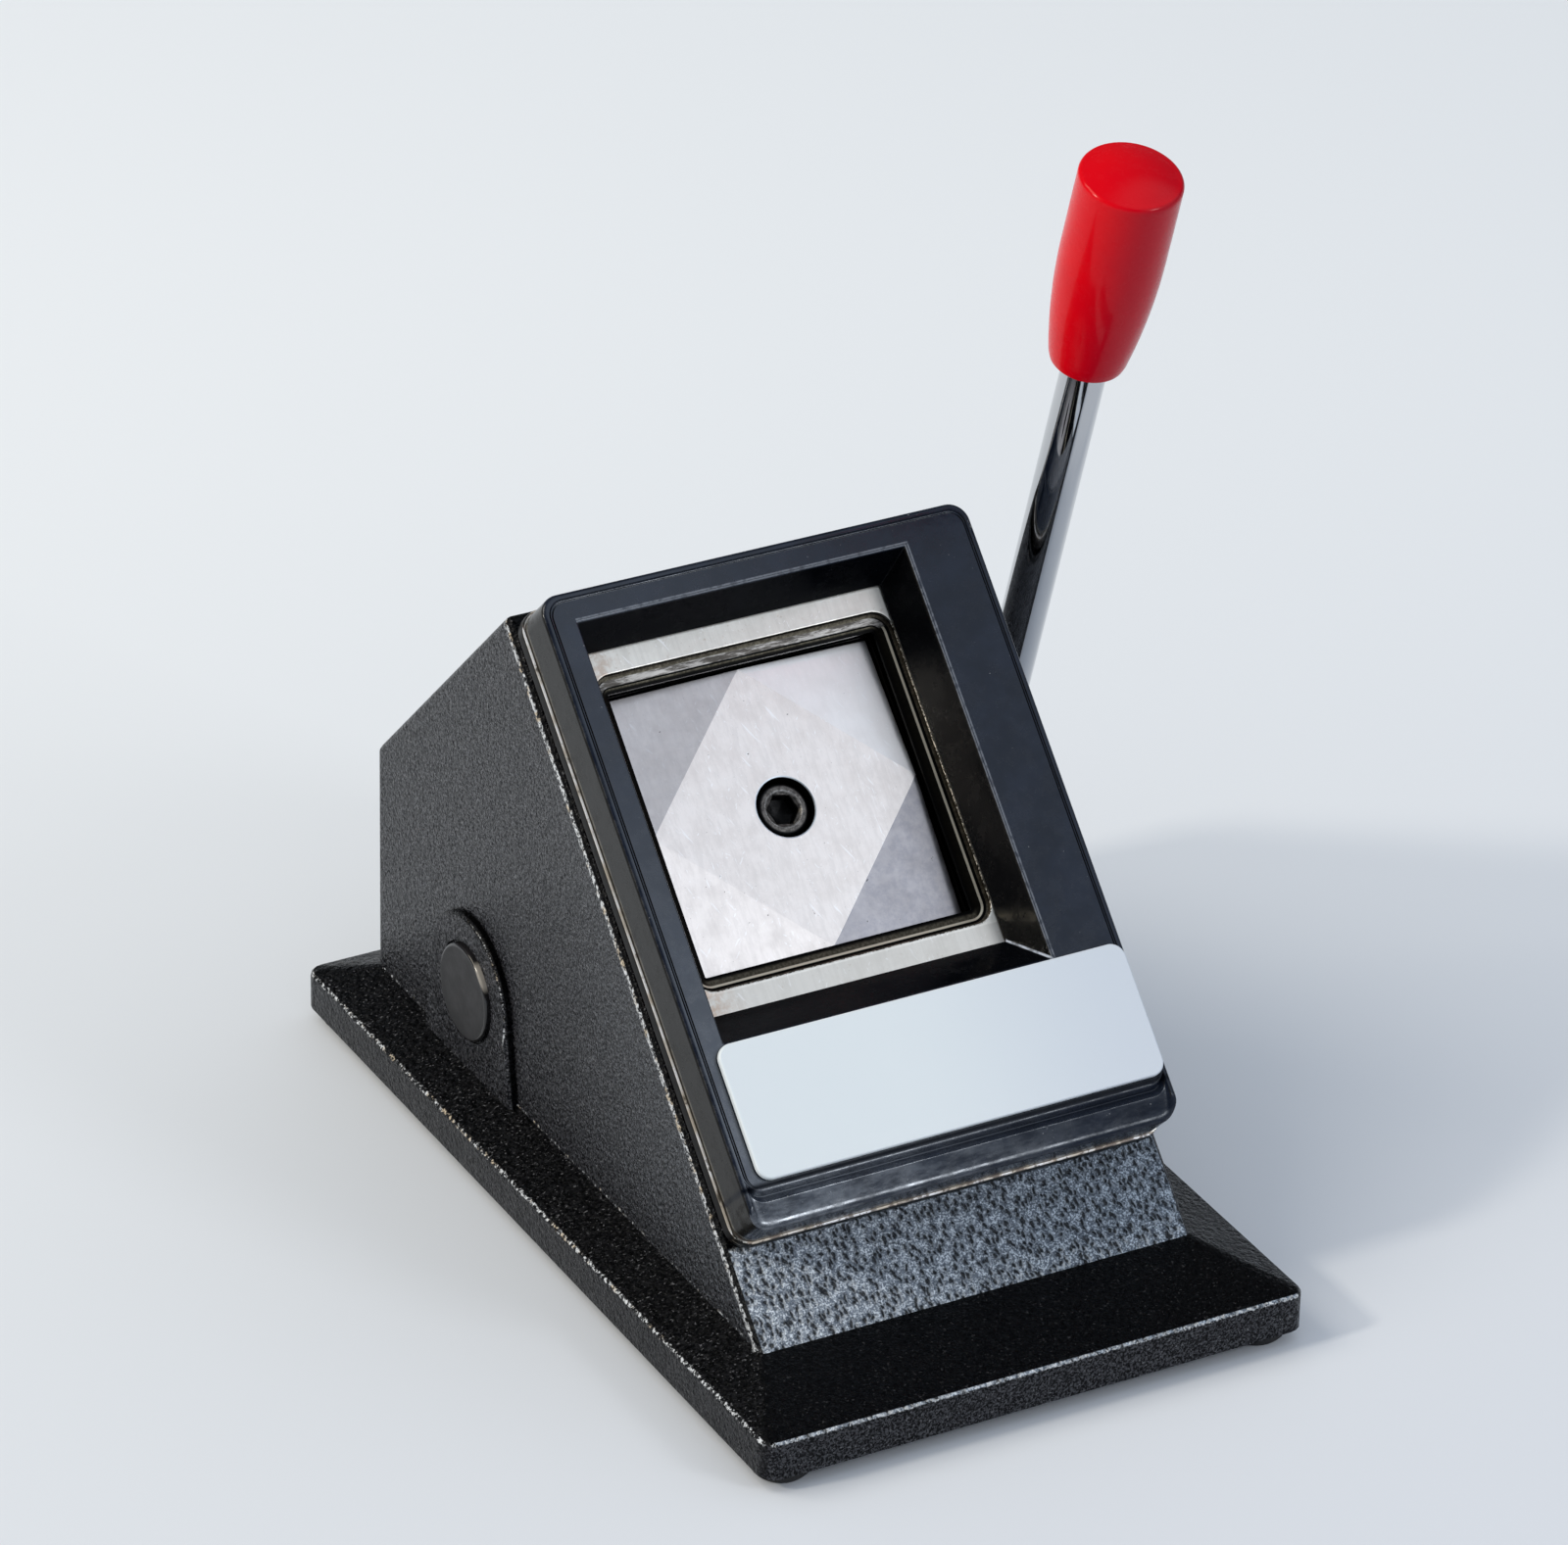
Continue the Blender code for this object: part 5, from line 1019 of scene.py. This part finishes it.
def spun(profile, steps):
    """Loops about the z axis: each (radius, height) pair becomes a circle."""
    turn = np.linspace(0, 2 * np.pi, steps, endpoint=False)
    radius, height = np.asarray(profile, float).T[..., None]
    return np.stack([radius * np.cos(turn), radius * np.sin(turn), np.repeat(height, steps, 1)], -1)


def fillet(corner, radius, start, end, steps=6):
    """Profile points on a quarter round: centre + radius (cos, sin)."""
    angle = arc(start, end, steps)
    return (corner + radius * np.stack([np.cos(angle), np.sin(angle)], -1)).tolist()


print("points on a quarter round:", len(fillet((0, 0), 1, 0, 90)))

# %% [markdown]
# ## Rounded rectangles
# Frame, die and label are all rounded rectangles.  One function gives such a loop with as many points
# as asked for on every corner, so loops of different size and roundness always pair up.

# %% Rounded rectangles
def round_rect(left, right, low, high, radius, steps=10):
    """Loop of (u, v): four quarter circles, corner centre + radius (cos, sin)."""
    turn = arc(0, 90, steps)
    centres = np.array([(right - radius, low + radius), (right - radius, high - radius),
                        (left + radius, high - radius), (left + radius, low + radius)])
    turns = turn + np.radians([-90, 0, 90, 180])[:, None]
    u = centres[:, 0, None] + radius * np.cos(turns)
    v = centres[:, 1, None] + radius * np.sin(turns)
    return np.stack([u.ravel(), v.ravel()], -1)


def slab_loops(bounds, levels):
    """World loops of a rounded rectangle; each level is (inset, n) and shrinks the outline."""
    left, right, low, high, radius = bounds
    loops = []
    for inset, n in levels:
        corner = max(radius - inset, 0.02 * MM)
        outline = round_rect(left + inset, right - inset, low + inset, high - inset, corner)
        loops.append(on_face(*outline.T, n))
    return loops


print("points on a rounded rectangle:", len(round_rect(0, 1, 0, 1, 0.1)))

# %% [markdown]
# ## The window frame
# The frame is one moulding.  Its outer wall rises from the die plate, rounds over, crosses the front
# and dips into a mitred funnel whose walls end on the die.  Along the bottom a wide chamfer replaces
# the round edge, and a valley parts it from the front: its lower side looks up at the dark ceiling and
# shows as a black line.  So it is a closed ring of loops: outer wall, front, funnel, back.  The funnel's
# loops have nearly sharp corners, which draws the mitre lines.

# %% Loops of the frame
FRAME_CORNER, BAND, BAND_DROP = 3.6 * MM, 5.2 * MM, 1.35 * MM


def outer_loop(inset, band_share, n, low_n):
    """Frame outline at one level: inset on three sides, moved up by the band's share below."""
    left, right = frame_low[0] + inset, frame_high[0] - inset
    low = frame_low[1] + inset * (1 - band_share) + BAND * band_share
    radius = FRAME_CORNER - inset * 0.6
    outline = round_rect(left, right, low, frame_high[1] - inset, radius)
    weight = np.clip((low + radius - outline[:, 1]) / radius, 0, 1)
    weight = weight * weight * (3 - 2 * weight)
    return on_face(*outline.T, n + (low_n - n) * weight)


def funnel_loop(depth_share, widen=0.0):
    """Window outline at a share of the frame's thickness, from back 0 to front 1."""
    side = OPEN_U + SIDE_SPLAY * depth_share + widen
    low = PUNCH_V - OPEN_V - LOW_SPLAY * depth_share - widen
    high = PUNCH_V + OPEN_V + TOP_SPLAY * depth_share + widen
    outline = round_rect(PUNCH_U - side, PUNCH_U + side, low, high, 0.25 * MM)
    return on_face(*outline.T, FRAME_BACK + (FRAME_FRONT - FRAME_BACK) * depth_share)


print("points on a frame loop:", len(funnel_loop(0.5)))

# %% [markdown]
# Two lists draw the front.  The valley above the chamfer gives, for a share of the band's height, how
# far the surface lies below the front.  The grooves are two fine ones along the other three edges, each
# an inset from the edge and a drop.

# %% Window frame
EDGE_ROUND, EDGE_DROP, WINDOW_ROUND = 0.9 * MM, 0.7 * MM, 0.3 * MM
VALLEY = ((0.40, 0.918), (0.76, 0.378), (0.81, 0.3375), (0.84, 0.405), (0.88, 0.52), (1.07, 1.08),
          (1.11, 1.10), (1.17, 0.62), (1.24, 0.12), (1.28, 0.02), (1.33, 0.0))
GROOVES = ((1.06, 0.0), (1.12, 0.20), (1.24, 0.26), (1.31, 0.04), (1.40, 0.02), (1.47, 0.04),
           (1.54, 0.22), (1.66, 0.26), (1.72, 0.0))


def window_frame():
    """Ring of loops: outer wall, rounded edge, valley and grooves, then down the funnel."""
    loops = [outer_loop(0.25 * MM, 0.0, FRAME_BACK, FRAME_BACK),
             outer_loop(0.0, 0.0, FRAME_BACK + 0.25 * MM, FRAME_BACK + 0.25 * MM)]
    for angle in arc(0, 90, 6):
        inset, drop = 1 - math.cos(angle), EDGE_DROP * (1 - math.sin(angle))
        loops.append(outer_loop(EDGE_ROUND * inset, 0.11 * inset, FRAME_FRONT - drop,
                                FRAME_FRONT - drop - BAND_DROP))
    loops += [outer_loop(0.95 * MM, share, FRAME_FRONT, FRAME_FRONT - drop * MM) for share, drop in VALLEY]
    loops += [outer_loop(inset * MM, 1.23 + 0.1 * inset, FRAME_FRONT - drop * MM, FRAME_FRONT)
              for inset, drop in GROOVES]
    for angle in arc(90, 0, 4):
        depth = WINDOW_ROUND * (1 - math.sin(angle)) / (FRAME_FRONT - FRAME_BACK)
        loops.append(funnel_loop(1.0 - depth, WINDOW_ROUND * (1 - math.cos(angle))))
    return loops + [funnel_loop(0.6), funnel_loop(0.3), funnel_loop(0.03), funnel_loop(0.0, 0.2 * MM)]


piece("window_frame", stack(window_frame(), ring=True), bezel_black, "bezel", sharp=24)

# %% [markdown]
# ## The die plate
# Under the frame lies a plate of tool steel.  Its edge stands out a little all round, and its finish
# paints a highlight there as a bright line.  Inside the window it has a square relief with rounded
# corners, then a sloping ledge down to the sharp cutting edge.

# %% Die plate
die_low, die_high = face_box("die_plate")
CUT, RELIEF = 25.6 * MM, 28.5 * MM


def die_opening(half, radius, n):
    """A square loop round the punch's centre, of a half width and a corner radius."""
    outline = round_rect(PUNCH_U - half, PUNCH_U + half, PUNCH_V - half, PUNCH_V + half, radius)
    return on_face(*outline.T, n)


def die_loops():
    """Ring of loops: up the rounded outer edge, then down the relief and the cutting edge."""
    edge = (die_low[0], die_high[0], die_low[1], die_high[1], 4.1 * MM)
    outside = [(0.3 * MM, die_low[2]), (0.0, die_low[2] + 0.3 * MM), (0.0, DIE_TOP - 0.45 * MM),
               (0.13 * MM, DIE_TOP - 0.13 * MM), (0.45 * MM, DIE_TOP)]
    inside = [(RELIEF + 0.34 * MM, 3.7 * MM, DIE_TOP), (RELIEF + 0.10 * MM, 3.6 * MM, DIE_TOP - 0.09 * MM),
              (RELIEF, 3.5 * MM, DIE_TOP - 0.30 * MM), (RELIEF, 3.5 * MM, DIE_LAND + 0.95 * MM),
              (RELIEF - 0.5 * MM, 3.2 * MM, DIE_LAND + 0.7 * MM), (CUT, 0.3 * MM, DIE_LAND),
              (CUT, 0.3 * MM, die_low[2])]
    return slab_loops(edge, outside) + [die_opening(*level) for level in inside]


piece("die", stack(die_loops(), ring=True), die_steel, "die_plate", sharp=28)

# %% [markdown]
# ## The bare label plate
# A thin blank plate is stuck on the lower rail.  It has rounded corners and a soft edge, and its finish
# is a pale, slightly uneven satin.

# %% Label plate
label_low, label_high = face_box("label_plate")
LABEL_CORNER, LABEL_EDGE = 2.6 * MM, 0.35 * MM


def label_loops():
    """Loops up the side and over a soft edge: inset e (1 - cos a), drop e (1 - sin a)."""
    bounds = (label_low[0], label_high[0], label_low[1], label_high[1], LABEL_CORNER)
    levels = [(0.0, label_low[2]), (0.0, label_high[2] - LABEL_EDGE)]
    levels += [(LABEL_EDGE * (1 - math.cos(a)), label_high[2] - LABEL_EDGE * (1 - math.sin(a)))
               for a in arc(15, 90, 5)]
    return slab_loops(bounds, levels)


piece("label", stack(label_loops()), label_face, "label_plate")

# %% [markdown]
# ## The punch
# The punch's face is a flat diamond with its four corners ground away, so that it enters the photo
# along the sides first and cuts with less force.  All its loops use the same set of directions from
# the centre.  In the direction t a square reaches half / max(|cos t|, |sin t|) and the diamond reaches
# half / (|cos t| + |sin t|), and both meet at the middle of each side.

# %% Loops round the punch's centre
HALF = (punch_high[0] - punch_low[0]) / 2
PUNCH_FOOT, PUNCH_TOP = punch_low[2], punch_high[2]
AROUND = np.linspace(0, 2 * np.pi, 96, endpoint=False)


def reach_loop(reach, n):
    """Loop round the punch's centre: reach(t) (cos t, sin t)."""
    return on_face(PUNCH_U + reach * np.cos(AROUND), PUNCH_V + reach * np.sin(AROUND), n)


print("half of the punch's side in mm:", round(HALF / MM, 2))

# %% Punch
FACET_DROP = 1.2 * MM
BORE, BORE_FLOOR, BORE_LIP, THROUGH = 5.3 * MM, PUNCH_TOP - 7.3 * MM, 0.25 * MM, 3.3 * MM


def punch_loops():
    """Ring of loops: up the counterbore, over the face and its facets, down the sides, up the hole."""
    spread = abs(np.cos(AROUND)) + abs(np.sin(AROUND))
    square = HALF / np.maximum(abs(np.cos(AROUND)), abs(np.sin(AROUND)))
    edge = square * (HALF - 0.12 * MM) / HALF

    def top(reach):
        return PUNCH_TOP - FACET_DROP * np.maximum(reach * spread - HALF, 0) / HALF

    levels = [(BORE, BORE_FLOOR), (BORE, PUNCH_TOP - BORE_LIP), (BORE + 0.07 * MM, PUNCH_TOP - 0.07 * MM),
              (BORE + BORE_LIP, PUNCH_TOP), (np.minimum(HALF / spread, edge), PUNCH_TOP), (edge, top(edge)),
              (square, top(square) - 0.1 * MM), (square, PUNCH_FOOT + 0.4 * MM),
              (square - 0.4 * MM, PUNCH_FOOT), (THROUGH, PUNCH_FOOT), (THROUGH, BORE_FLOOR)]
    return [reach_loop(reach, n) for reach, n in levels]


punch_piece = piece("punch_block", stack(punch_loops(), ring=True), punch_steel, "punch", sharp=1.2)

# %% [markdown]
# Now each facet gets its number, as an attribute on the faces.  A face belongs to a corner facet when
# its centre lies outside the diamond |u| + |v| = half and near the top.

# %% A number for each facet
FACETS = ((-1, 1, 0.50), (1, -1, 0.97), (1, 1, -0.56))  # sign of u, sign of v, number


def mark_facets(obj):
    """Number per face: the finish paints shade on two opposite corner facets (positive) and a highlight on one
    (negative).
    """
    mesh = obj.data
    centre = np.empty(len(mesh.polygons) * 3, np.float32)
    mesh.polygons.foreach_get("center", centre)
    u, v, n = to_face(centre.reshape(-1, 3)).T
    u, v = u - PUNCH_U, v - PUNCH_V
    corner = (abs(u) + abs(v) > HALF * 1.002) & (n > PUNCH_TOP - FACET_DROP - 0.2 * MM)
    share = np.zeros(len(u), np.float32)
    for sign_u, sign_v, number in FACETS:
        share[corner & (u * sign_u > 0) & (v * sign_v > 0)] = number
    mesh.attributes.new("facet", "FLOAT", "FACE").data.foreach_set("value", share)
    return int(corner.sum())


print("faces on the corner facets:", mark_facets(punch_piece))

# %% [markdown]
# ## The socket screw
# A cap screw sits in the punch's counterbore.  Its head has a rounded rim, and a six-sided socket with
# a conical bottom.  A regular hexagon reaches apothem / cos(t folded into 60 degrees) in the direction
# t, so the socket is a loop like the others, and the head closes on its axis.

# %% Socket screw
SCREW_FOOT = face_box("punch_screw")[0][2]
HEAD_HIGH, HEAD_RADIUS, HEAD_ROUND = 6.0 * MM, 4.75 * MM, 0.8 * MM
SHANK, SOCKET = 3.0 * MM, 2.5 * MM


def screw_loops():
    """Loops from the shank's tip out over the head and down into the socket, closed on the axis."""
    folded = np.mod(AROUND + math.radians(12), math.radians(60)) - math.radians(30)
    hexagon = SOCKET / np.cos(folded)
    under = HEAD_TOP - HEAD_HIGH
    levels = [(0, SCREW_FOOT), (SHANK - 0.6 * MM, SCREW_FOOT), (SHANK, SCREW_FOOT + 0.6 * MM),
              (SHANK, under), (HEAD_RADIUS - 0.2 * MM, under), (HEAD_RADIUS, under + 0.2 * MM)]
    levels += fillet((HEAD_RADIUS - HEAD_ROUND, HEAD_TOP - HEAD_ROUND), HEAD_ROUND, 0, 90)
    levels += [(3.35 * MM, HEAD_TOP), (3.2 * MM, HEAD_TOP - 0.12 * MM),
               (hexagon + 0.15 * MM, HEAD_TOP - 0.3 * MM), (hexagon, HEAD_TOP - 0.5 * MM),
               (hexagon, HEAD_TOP - 3.0 * MM), (1.2 * MM, HEAD_TOP - 3.5 * MM), (0, HEAD_TOP - 3.9 * MM)]
    return [reach_loop(reach, n) for reach, n in levels]


piece("socket_screw", stack(screw_loops()), head_black, "punch_screw", sharp=30)

# %% [markdown]
# ## The lever: rod and grip
# The lever leans towards the user.  Its pieces are turned shapes about one line that starts on the
# shaft and leans by LEAN.  A profile of radius and height is spun about z, tipped about x and moved to
# the shaft.  The grip swells from its neck like a parabola and closes in a nearly flat dome.

# %% Leaning turned pieces
rod_points = points_of("lever_rod")
STEM_FOOT = np.array([(rod_points[:, 0].min() + rod_points[:, 0].max()) / 2, shaft_y, shaft_z])
LEAN = math.radians(16.9)
STEM = np.array([0.0, -math.sin(LEAN), math.cos(LEAN)])
STEM_SIDE = np.array([0.0, math.cos(LEAN), math.sin(LEAN)])


def on_stem(loops):
    """Points (x, y, z) of a turned shape, set along the leaning line from the shaft."""
    return STEM_FOOT + np.asarray(loops, float) @ np.array([ACROSS, STEM_SIDE, STEM])


rod_end = ((rod_points - STEM_FOOT) @ STEM).max()
print("lever line at x =", round(STEM_FOOT[0] / MM, 2), "mm, rod ends at", round(rod_end / MM, 1), "mm")

# %% [markdown]
# The rod is a plain cylinder with a small chamfer that ends inside the grip.  The grip's profile is put
# together from its open foot, a swelling side, a rounded rim and a low dome.

# %% Rod and grip
ROD_START, ROD_RADIUS, ROD_CHAMFER = 6.3 * MM, 4.0 * MM, 0.5 * MM
GRIP_START, GRIP_LENGTH = 121.8 * MM, 40.7 * MM
GRIP_RADIUS, GRIP_NECK, GRIP_RIM = 9.0 * MM, 6.6 * MM, 1.0 * MM
FOOT_ROUND, DOME = 0.65 * MM, 1.6 * MM


def rod_profile():
    return [(0, ROD_START), (ROD_RADIUS, ROD_START), (ROD_RADIUS, rod_end - ROD_CHAMFER),
            (ROD_RADIUS - ROD_CHAMFER, rod_end), (0, rod_end)]


def grip_profile():
    """Radius at a share s of the length: neck + swell (1 - (1 - s / 0.6)^2), then a rim and a dome."""
    share = np.linspace(0.035, 0.965, 40)
    swell = 1 - np.clip(1 - share / 0.6, 0, None) ** 2
    side = np.stack([GRIP_NECK + (GRIP_RADIUS - GRIP_NECK) * swell, GRIP_START + GRIP_LENGTH * share], -1)
    foot = [(0, GRIP_START + 2.0 * MM), (4.3 * MM, GRIP_START + 2.0 * MM),
            (4.3 * MM, GRIP_START + 0.35 * MM), (4.65 * MM, GRIP_START)]
    foot += fillet((GRIP_NECK - FOOT_ROUND, GRIP_START + FOOT_ROUND), FOOT_ROUND, -90, -8)
    top = GRIP_START + GRIP_LENGTH
    rim = fillet((GRIP_RADIUS - GRIP_RIM, top - GRIP_RIM), GRIP_RIM, 4, 78, 8)
    inward = 1 - np.linspace(0.05, 1.0, 10)
    dome = np.stack([(GRIP_RADIUS - GRIP_RIM) * inward, top + DOME * (1 - inward ** 2)], -1)
    return foot + side.tolist() + rim + dome.tolist()


piece("rod", stack(on_stem(spun(rod_profile(), 72))), chrome, "lever_rod")
piece("handle", stack(on_stem(spun(grip_profile(), 96))), grip_red, "grip", sharp=50)

# %% [markdown]
# ## The end cap
# A moulded cap closes the shaft's bore on the left.  It is a disc with a rounded rim in a shallow
# recess, and the gap round it reads as a dark ring.  Its profile is spun about z and then laid along x.

# %% End cap
cap_points = points_of("end_cap")
CAP_FACE, CAP_BACK = cap_points[:, 0].min() + 0.85 * MM, cap_points[:, 0].max()
CAP_RADIUS, CAP_EDGE, CAP_STEM = 8.9 * MM, 0.5 * MM, 7.9 * MM


def along_shaft(loops):
    """A shape turned about z, laid along x through the shaft: (x, y, z) becomes (z, x, y)."""
    return np.array([0.0, shaft_y, shaft_z]) + np.roll(np.asarray(loops, float), 1, axis=-1)


def cap_profile():
    """Slightly dished face, rounded rim, and the stem that fills the bore."""
    profile = [(0, CAP_FACE + 0.12 * MM), (CAP_RADIUS * 0.5, CAP_FACE + 0.04 * MM),
               (CAP_RADIUS - CAP_EDGE * 1.6, CAP_FACE)]
    profile += [(CAP_RADIUS - CAP_EDGE * (1 - math.sin(a)), CAP_FACE + CAP_EDGE * (1 - math.cos(a)))
                for a in arc(5, 90, 7)]
    return profile + [(CAP_RADIUS, CAP_BACK - 2.5 * MM), (CAP_STEM, CAP_BACK - 2.5 * MM),
                      (CAP_STEM, CAP_BACK - 0.1 * MM), (0, CAP_BACK - 0.1 * MM)]


piece("cap", stack(along_shaft(spun(cap_profile(), 96))), cap_black, "end_cap")

# %% [markdown]
# ## Softened copies of the other solids
# The casting, the hub and the small inner pieces already have the right shape, but an imported node is a
# heap of loose triangles with hard edges.  A copy is merged into one skin and its flat triangles are
# joined; the hub, the bottom cover, the ram and the cam also get a narrow bevel that catches light along
# every sharp edge, as real edges do.

# %% Softened copies
SHARP = 30.0  # degrees
FINISH_OF = {"casting_paint": enamel, "ground_steel": die_steel, "bright_steel": bright_steel,
             "black_oxide": black_oxide, "bronze": bronze, "foot_rubber": foot_rubber}
BEVEL_OF = {"lever_hub": 0.3 * MM, "bottom_cover": 0.15 * MM, "ram": 0.3 * MM, "cam": 0.2 * MM}


def softened(node):
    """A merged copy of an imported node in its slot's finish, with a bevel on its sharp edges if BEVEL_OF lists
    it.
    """
    mesh = NODES[node].data.copy()
    mesh.name = node + "_soft"
    bm = bmesh.new()
    bm.from_mesh(mesh)
    bmesh.ops.remove_doubles(bm, verts=bm.verts, dist=2 * WELD)
    bmesh.ops.dissolve_limit(bm, angle_limit=math.radians(0.4), verts=bm.verts, edges=bm.edges)
    obj = settle(node + "_soft", mesh, bm, FINISH_OF[SLOT_OF[node]], node, SHARP)
    if node in BEVEL_OF:
        bevel = obj.modifiers.new("edges", "BEVEL")
        bevel.width = BEVEL_OF[node]
        bevel.segments = 2
        bevel.limit_method = "ANGLE"
        bevel.angle_limit = math.radians(SHARP)
        bevel.harden_normals = False
        bevel.use_clamp_overlap = True
    return even_shading(obj)


soft = {node: softened(node) for node in NODES if not NODES[node].hide_render}

# %% [markdown]
# ## Springs
# Each return spring stands between the ram and the face wall, and the ram's stroke presses it together.
# Here each spring's piece gets a mesh of its own, and the middle of its end at the wall is worked out.

# %% Springs with meshes of their own
for node in ("return_spring_lower", "return_spring_upper"):
    spring_low, spring_high = face_box(node)
    wall_end = on_face(*(spring_low[:2] + spring_high[:2]) / 2, spring_high[2])
    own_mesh(soft[node])

# %% [markdown]
# ## Floor and light
# A wide pale floor fills the view.  Three soft lamps do the work: a large one high on the left throws
# the shadow to the right, a small low one beside it draws that shadow out, and the third stands where
# the lower edge of the frame mirrors it into the camera.

# %% Floor
def pale_floor():
    """A pale tone that cools to the right and lightens away from the camera, as painted light."""
    f = Finish("pale_floor", Roughness=0.85, Specular_IOR_Level=0.2)
    across = f.vector("DOT_PRODUCT", f.spot, tuple(level))
    away = f.vector("DOT_PRODUCT", f.spot, (look[0], look[1], 0))
    # painted light: cooler to the right and brighter away from the camera
    drift = f.fade(f.math("SUBTRACT", across, f.times(away, 0.5)), -0.35, 0.35)
    near = f.blend(drift, (0.73, 0.755, 0.785), (0.69, 0.72, 0.78))
    far = f.blend(drift, (0.85, 0.87, 0.89), (0.82, 0.845, 0.88))
    f.set(Base_Color=f.blend(f.fade(away, -0.15, 0.35), near, far))
    return f.material


def floor_mesh(reach):
    """A square of 2 x reach metres on z = 0."""
    mesh = bpy.data.meshes.new("floor")
    corner = np.array([(-1, -1, 0), (1, -1, 0), (1, 1, 0), (-1, 1, 0)], float) * reach
    mesh.from_pydata(corner.tolist(), [], [(0, 1, 2, 3)])
    mesh.materials.append(pale_floor())
    return mesh


floor = bpy.data.objects.new("floor", floor_mesh(4.0))
bpy.context.scene.collection.objects.link(floor)
print("floor nodes:", len(floor.data.materials[0].node_tree.nodes))

# %% Lamps
WARM, COOL = (1.0, 0.92, 0.785), (0.96, 0.98, 1.0)
LAMP_TARGET = np.array([0.0, 0.0, 0.08])


def soft_lamp(name, towards, distance, size, watts, colour):
    """A square area lamp that looks at the object from a direction."""
    lamp = bpy.data.lights.new(name, "AREA")
    lamp.size = size
    lamp.energy = watts
    lamp.color = colour
    obj = bpy.data.objects.new(name, lamp)
    bpy.context.scene.collection.objects.link(obj)
    aim = np.array(towards, float) / np.linalg.norm(towards)
    side = np.cross((0, 0, 1), aim)
    side /= np.linalg.norm(side)
    turn = np.eye(4)
    turn[:3, :] = np.stack([side, np.cross(aim, side), aim, LAMP_TARGET + aim * distance], -1)
    obj.matrix_world = Matrix(turn.tolist())


soft_lamp("lamp_left", (-0.58, 0.28, 0.75), 2.0, 1.0, 12.3, WARM)
soft_lamp("lamp_low", (-0.79, 0.06, 0.50), 2.5, 0.26, 20.7, WARM)
soft_lamp("lamp_front", (0.43, -0.74, 0.50), 1.5, 0.34, 3.2, COOL)
print("lamps:", len(bpy.data.lights))

# %% [markdown]
# The sky gives the rest.  It looks pale to the camera and stays dim as a lamp, so that the floor keeps
# its shadow.  In reflections it is bright at the horizon and round a wide soft box at the front right,
# and dim elsewhere, because black enamel only looks black where it mirrors something dark.

# %% Sky
class Sky(Patterns):
    """The same kit at work on the nodes of a world."""

    def __init__(self, world):
        world.use_nodes = True
        self.tree = world.node_tree
        self.shader = self.tree.nodes["Background"]
        self.rays = self.add("ShaderNodeLightPath").outputs
        self.direction = self.add("ShaderNodeTexCoord").outputs["Generated"]

    def patch(self, towards, rim, core, outside, inside):
        """Smooth step round a direction: outside up to the rim's cosine, inside from the core's."""
        towards = tuple(np.array(towards, float) / np.linalg.norm(towards))
        along = self.vector("DOT_PRODUCT", self.direction, towards)
        return self.fade(along, rim, core, outside, inside)

    def either(self, share, plain, special):
        """A number from plain to special by a share that is 0 or 1."""
        return self.add("ShaderNodeMapRange", (share, 0.0, 1.0, plain, special)).outputs[0]


bpy.context.scene.world = bpy.data.worlds.new("studio")
sky = Sky(bpy.context.scene.world)
soft_box = sky.patch((0.45, -0.52, 0.73), 0.66, 0.88, 0.07, 0.95)
room = sky.patch(-look, 0.74, 0.90, 1.0, 0.06)
horizon = sky.fade(sky.parts(sky.direction)["Z"], 0.03, 0.13, 0.92, 0.0)
mirrored = sky.highest(sky.rays["Is Glossy Ray"], sky.rays["Is Transmission Ray"])
reflected = sky.highest(sky.times(soft_box, room), horizon)
seen = sky.either(sky.rays["Is Camera Ray"], 0.64, 0.90)
sky.set(Color=(0.83, 0.905, 1.0), Strength=sky.either(mirrored, seen, reflected))
bpy.context.scene.view_settings.view_transform = "Standard"
print("sky nodes:", len(sky.tree.nodes))

# %% [markdown] ## Last step The view layer is brought up to date.

# %% Finish
bpy.context.view_layer.update()
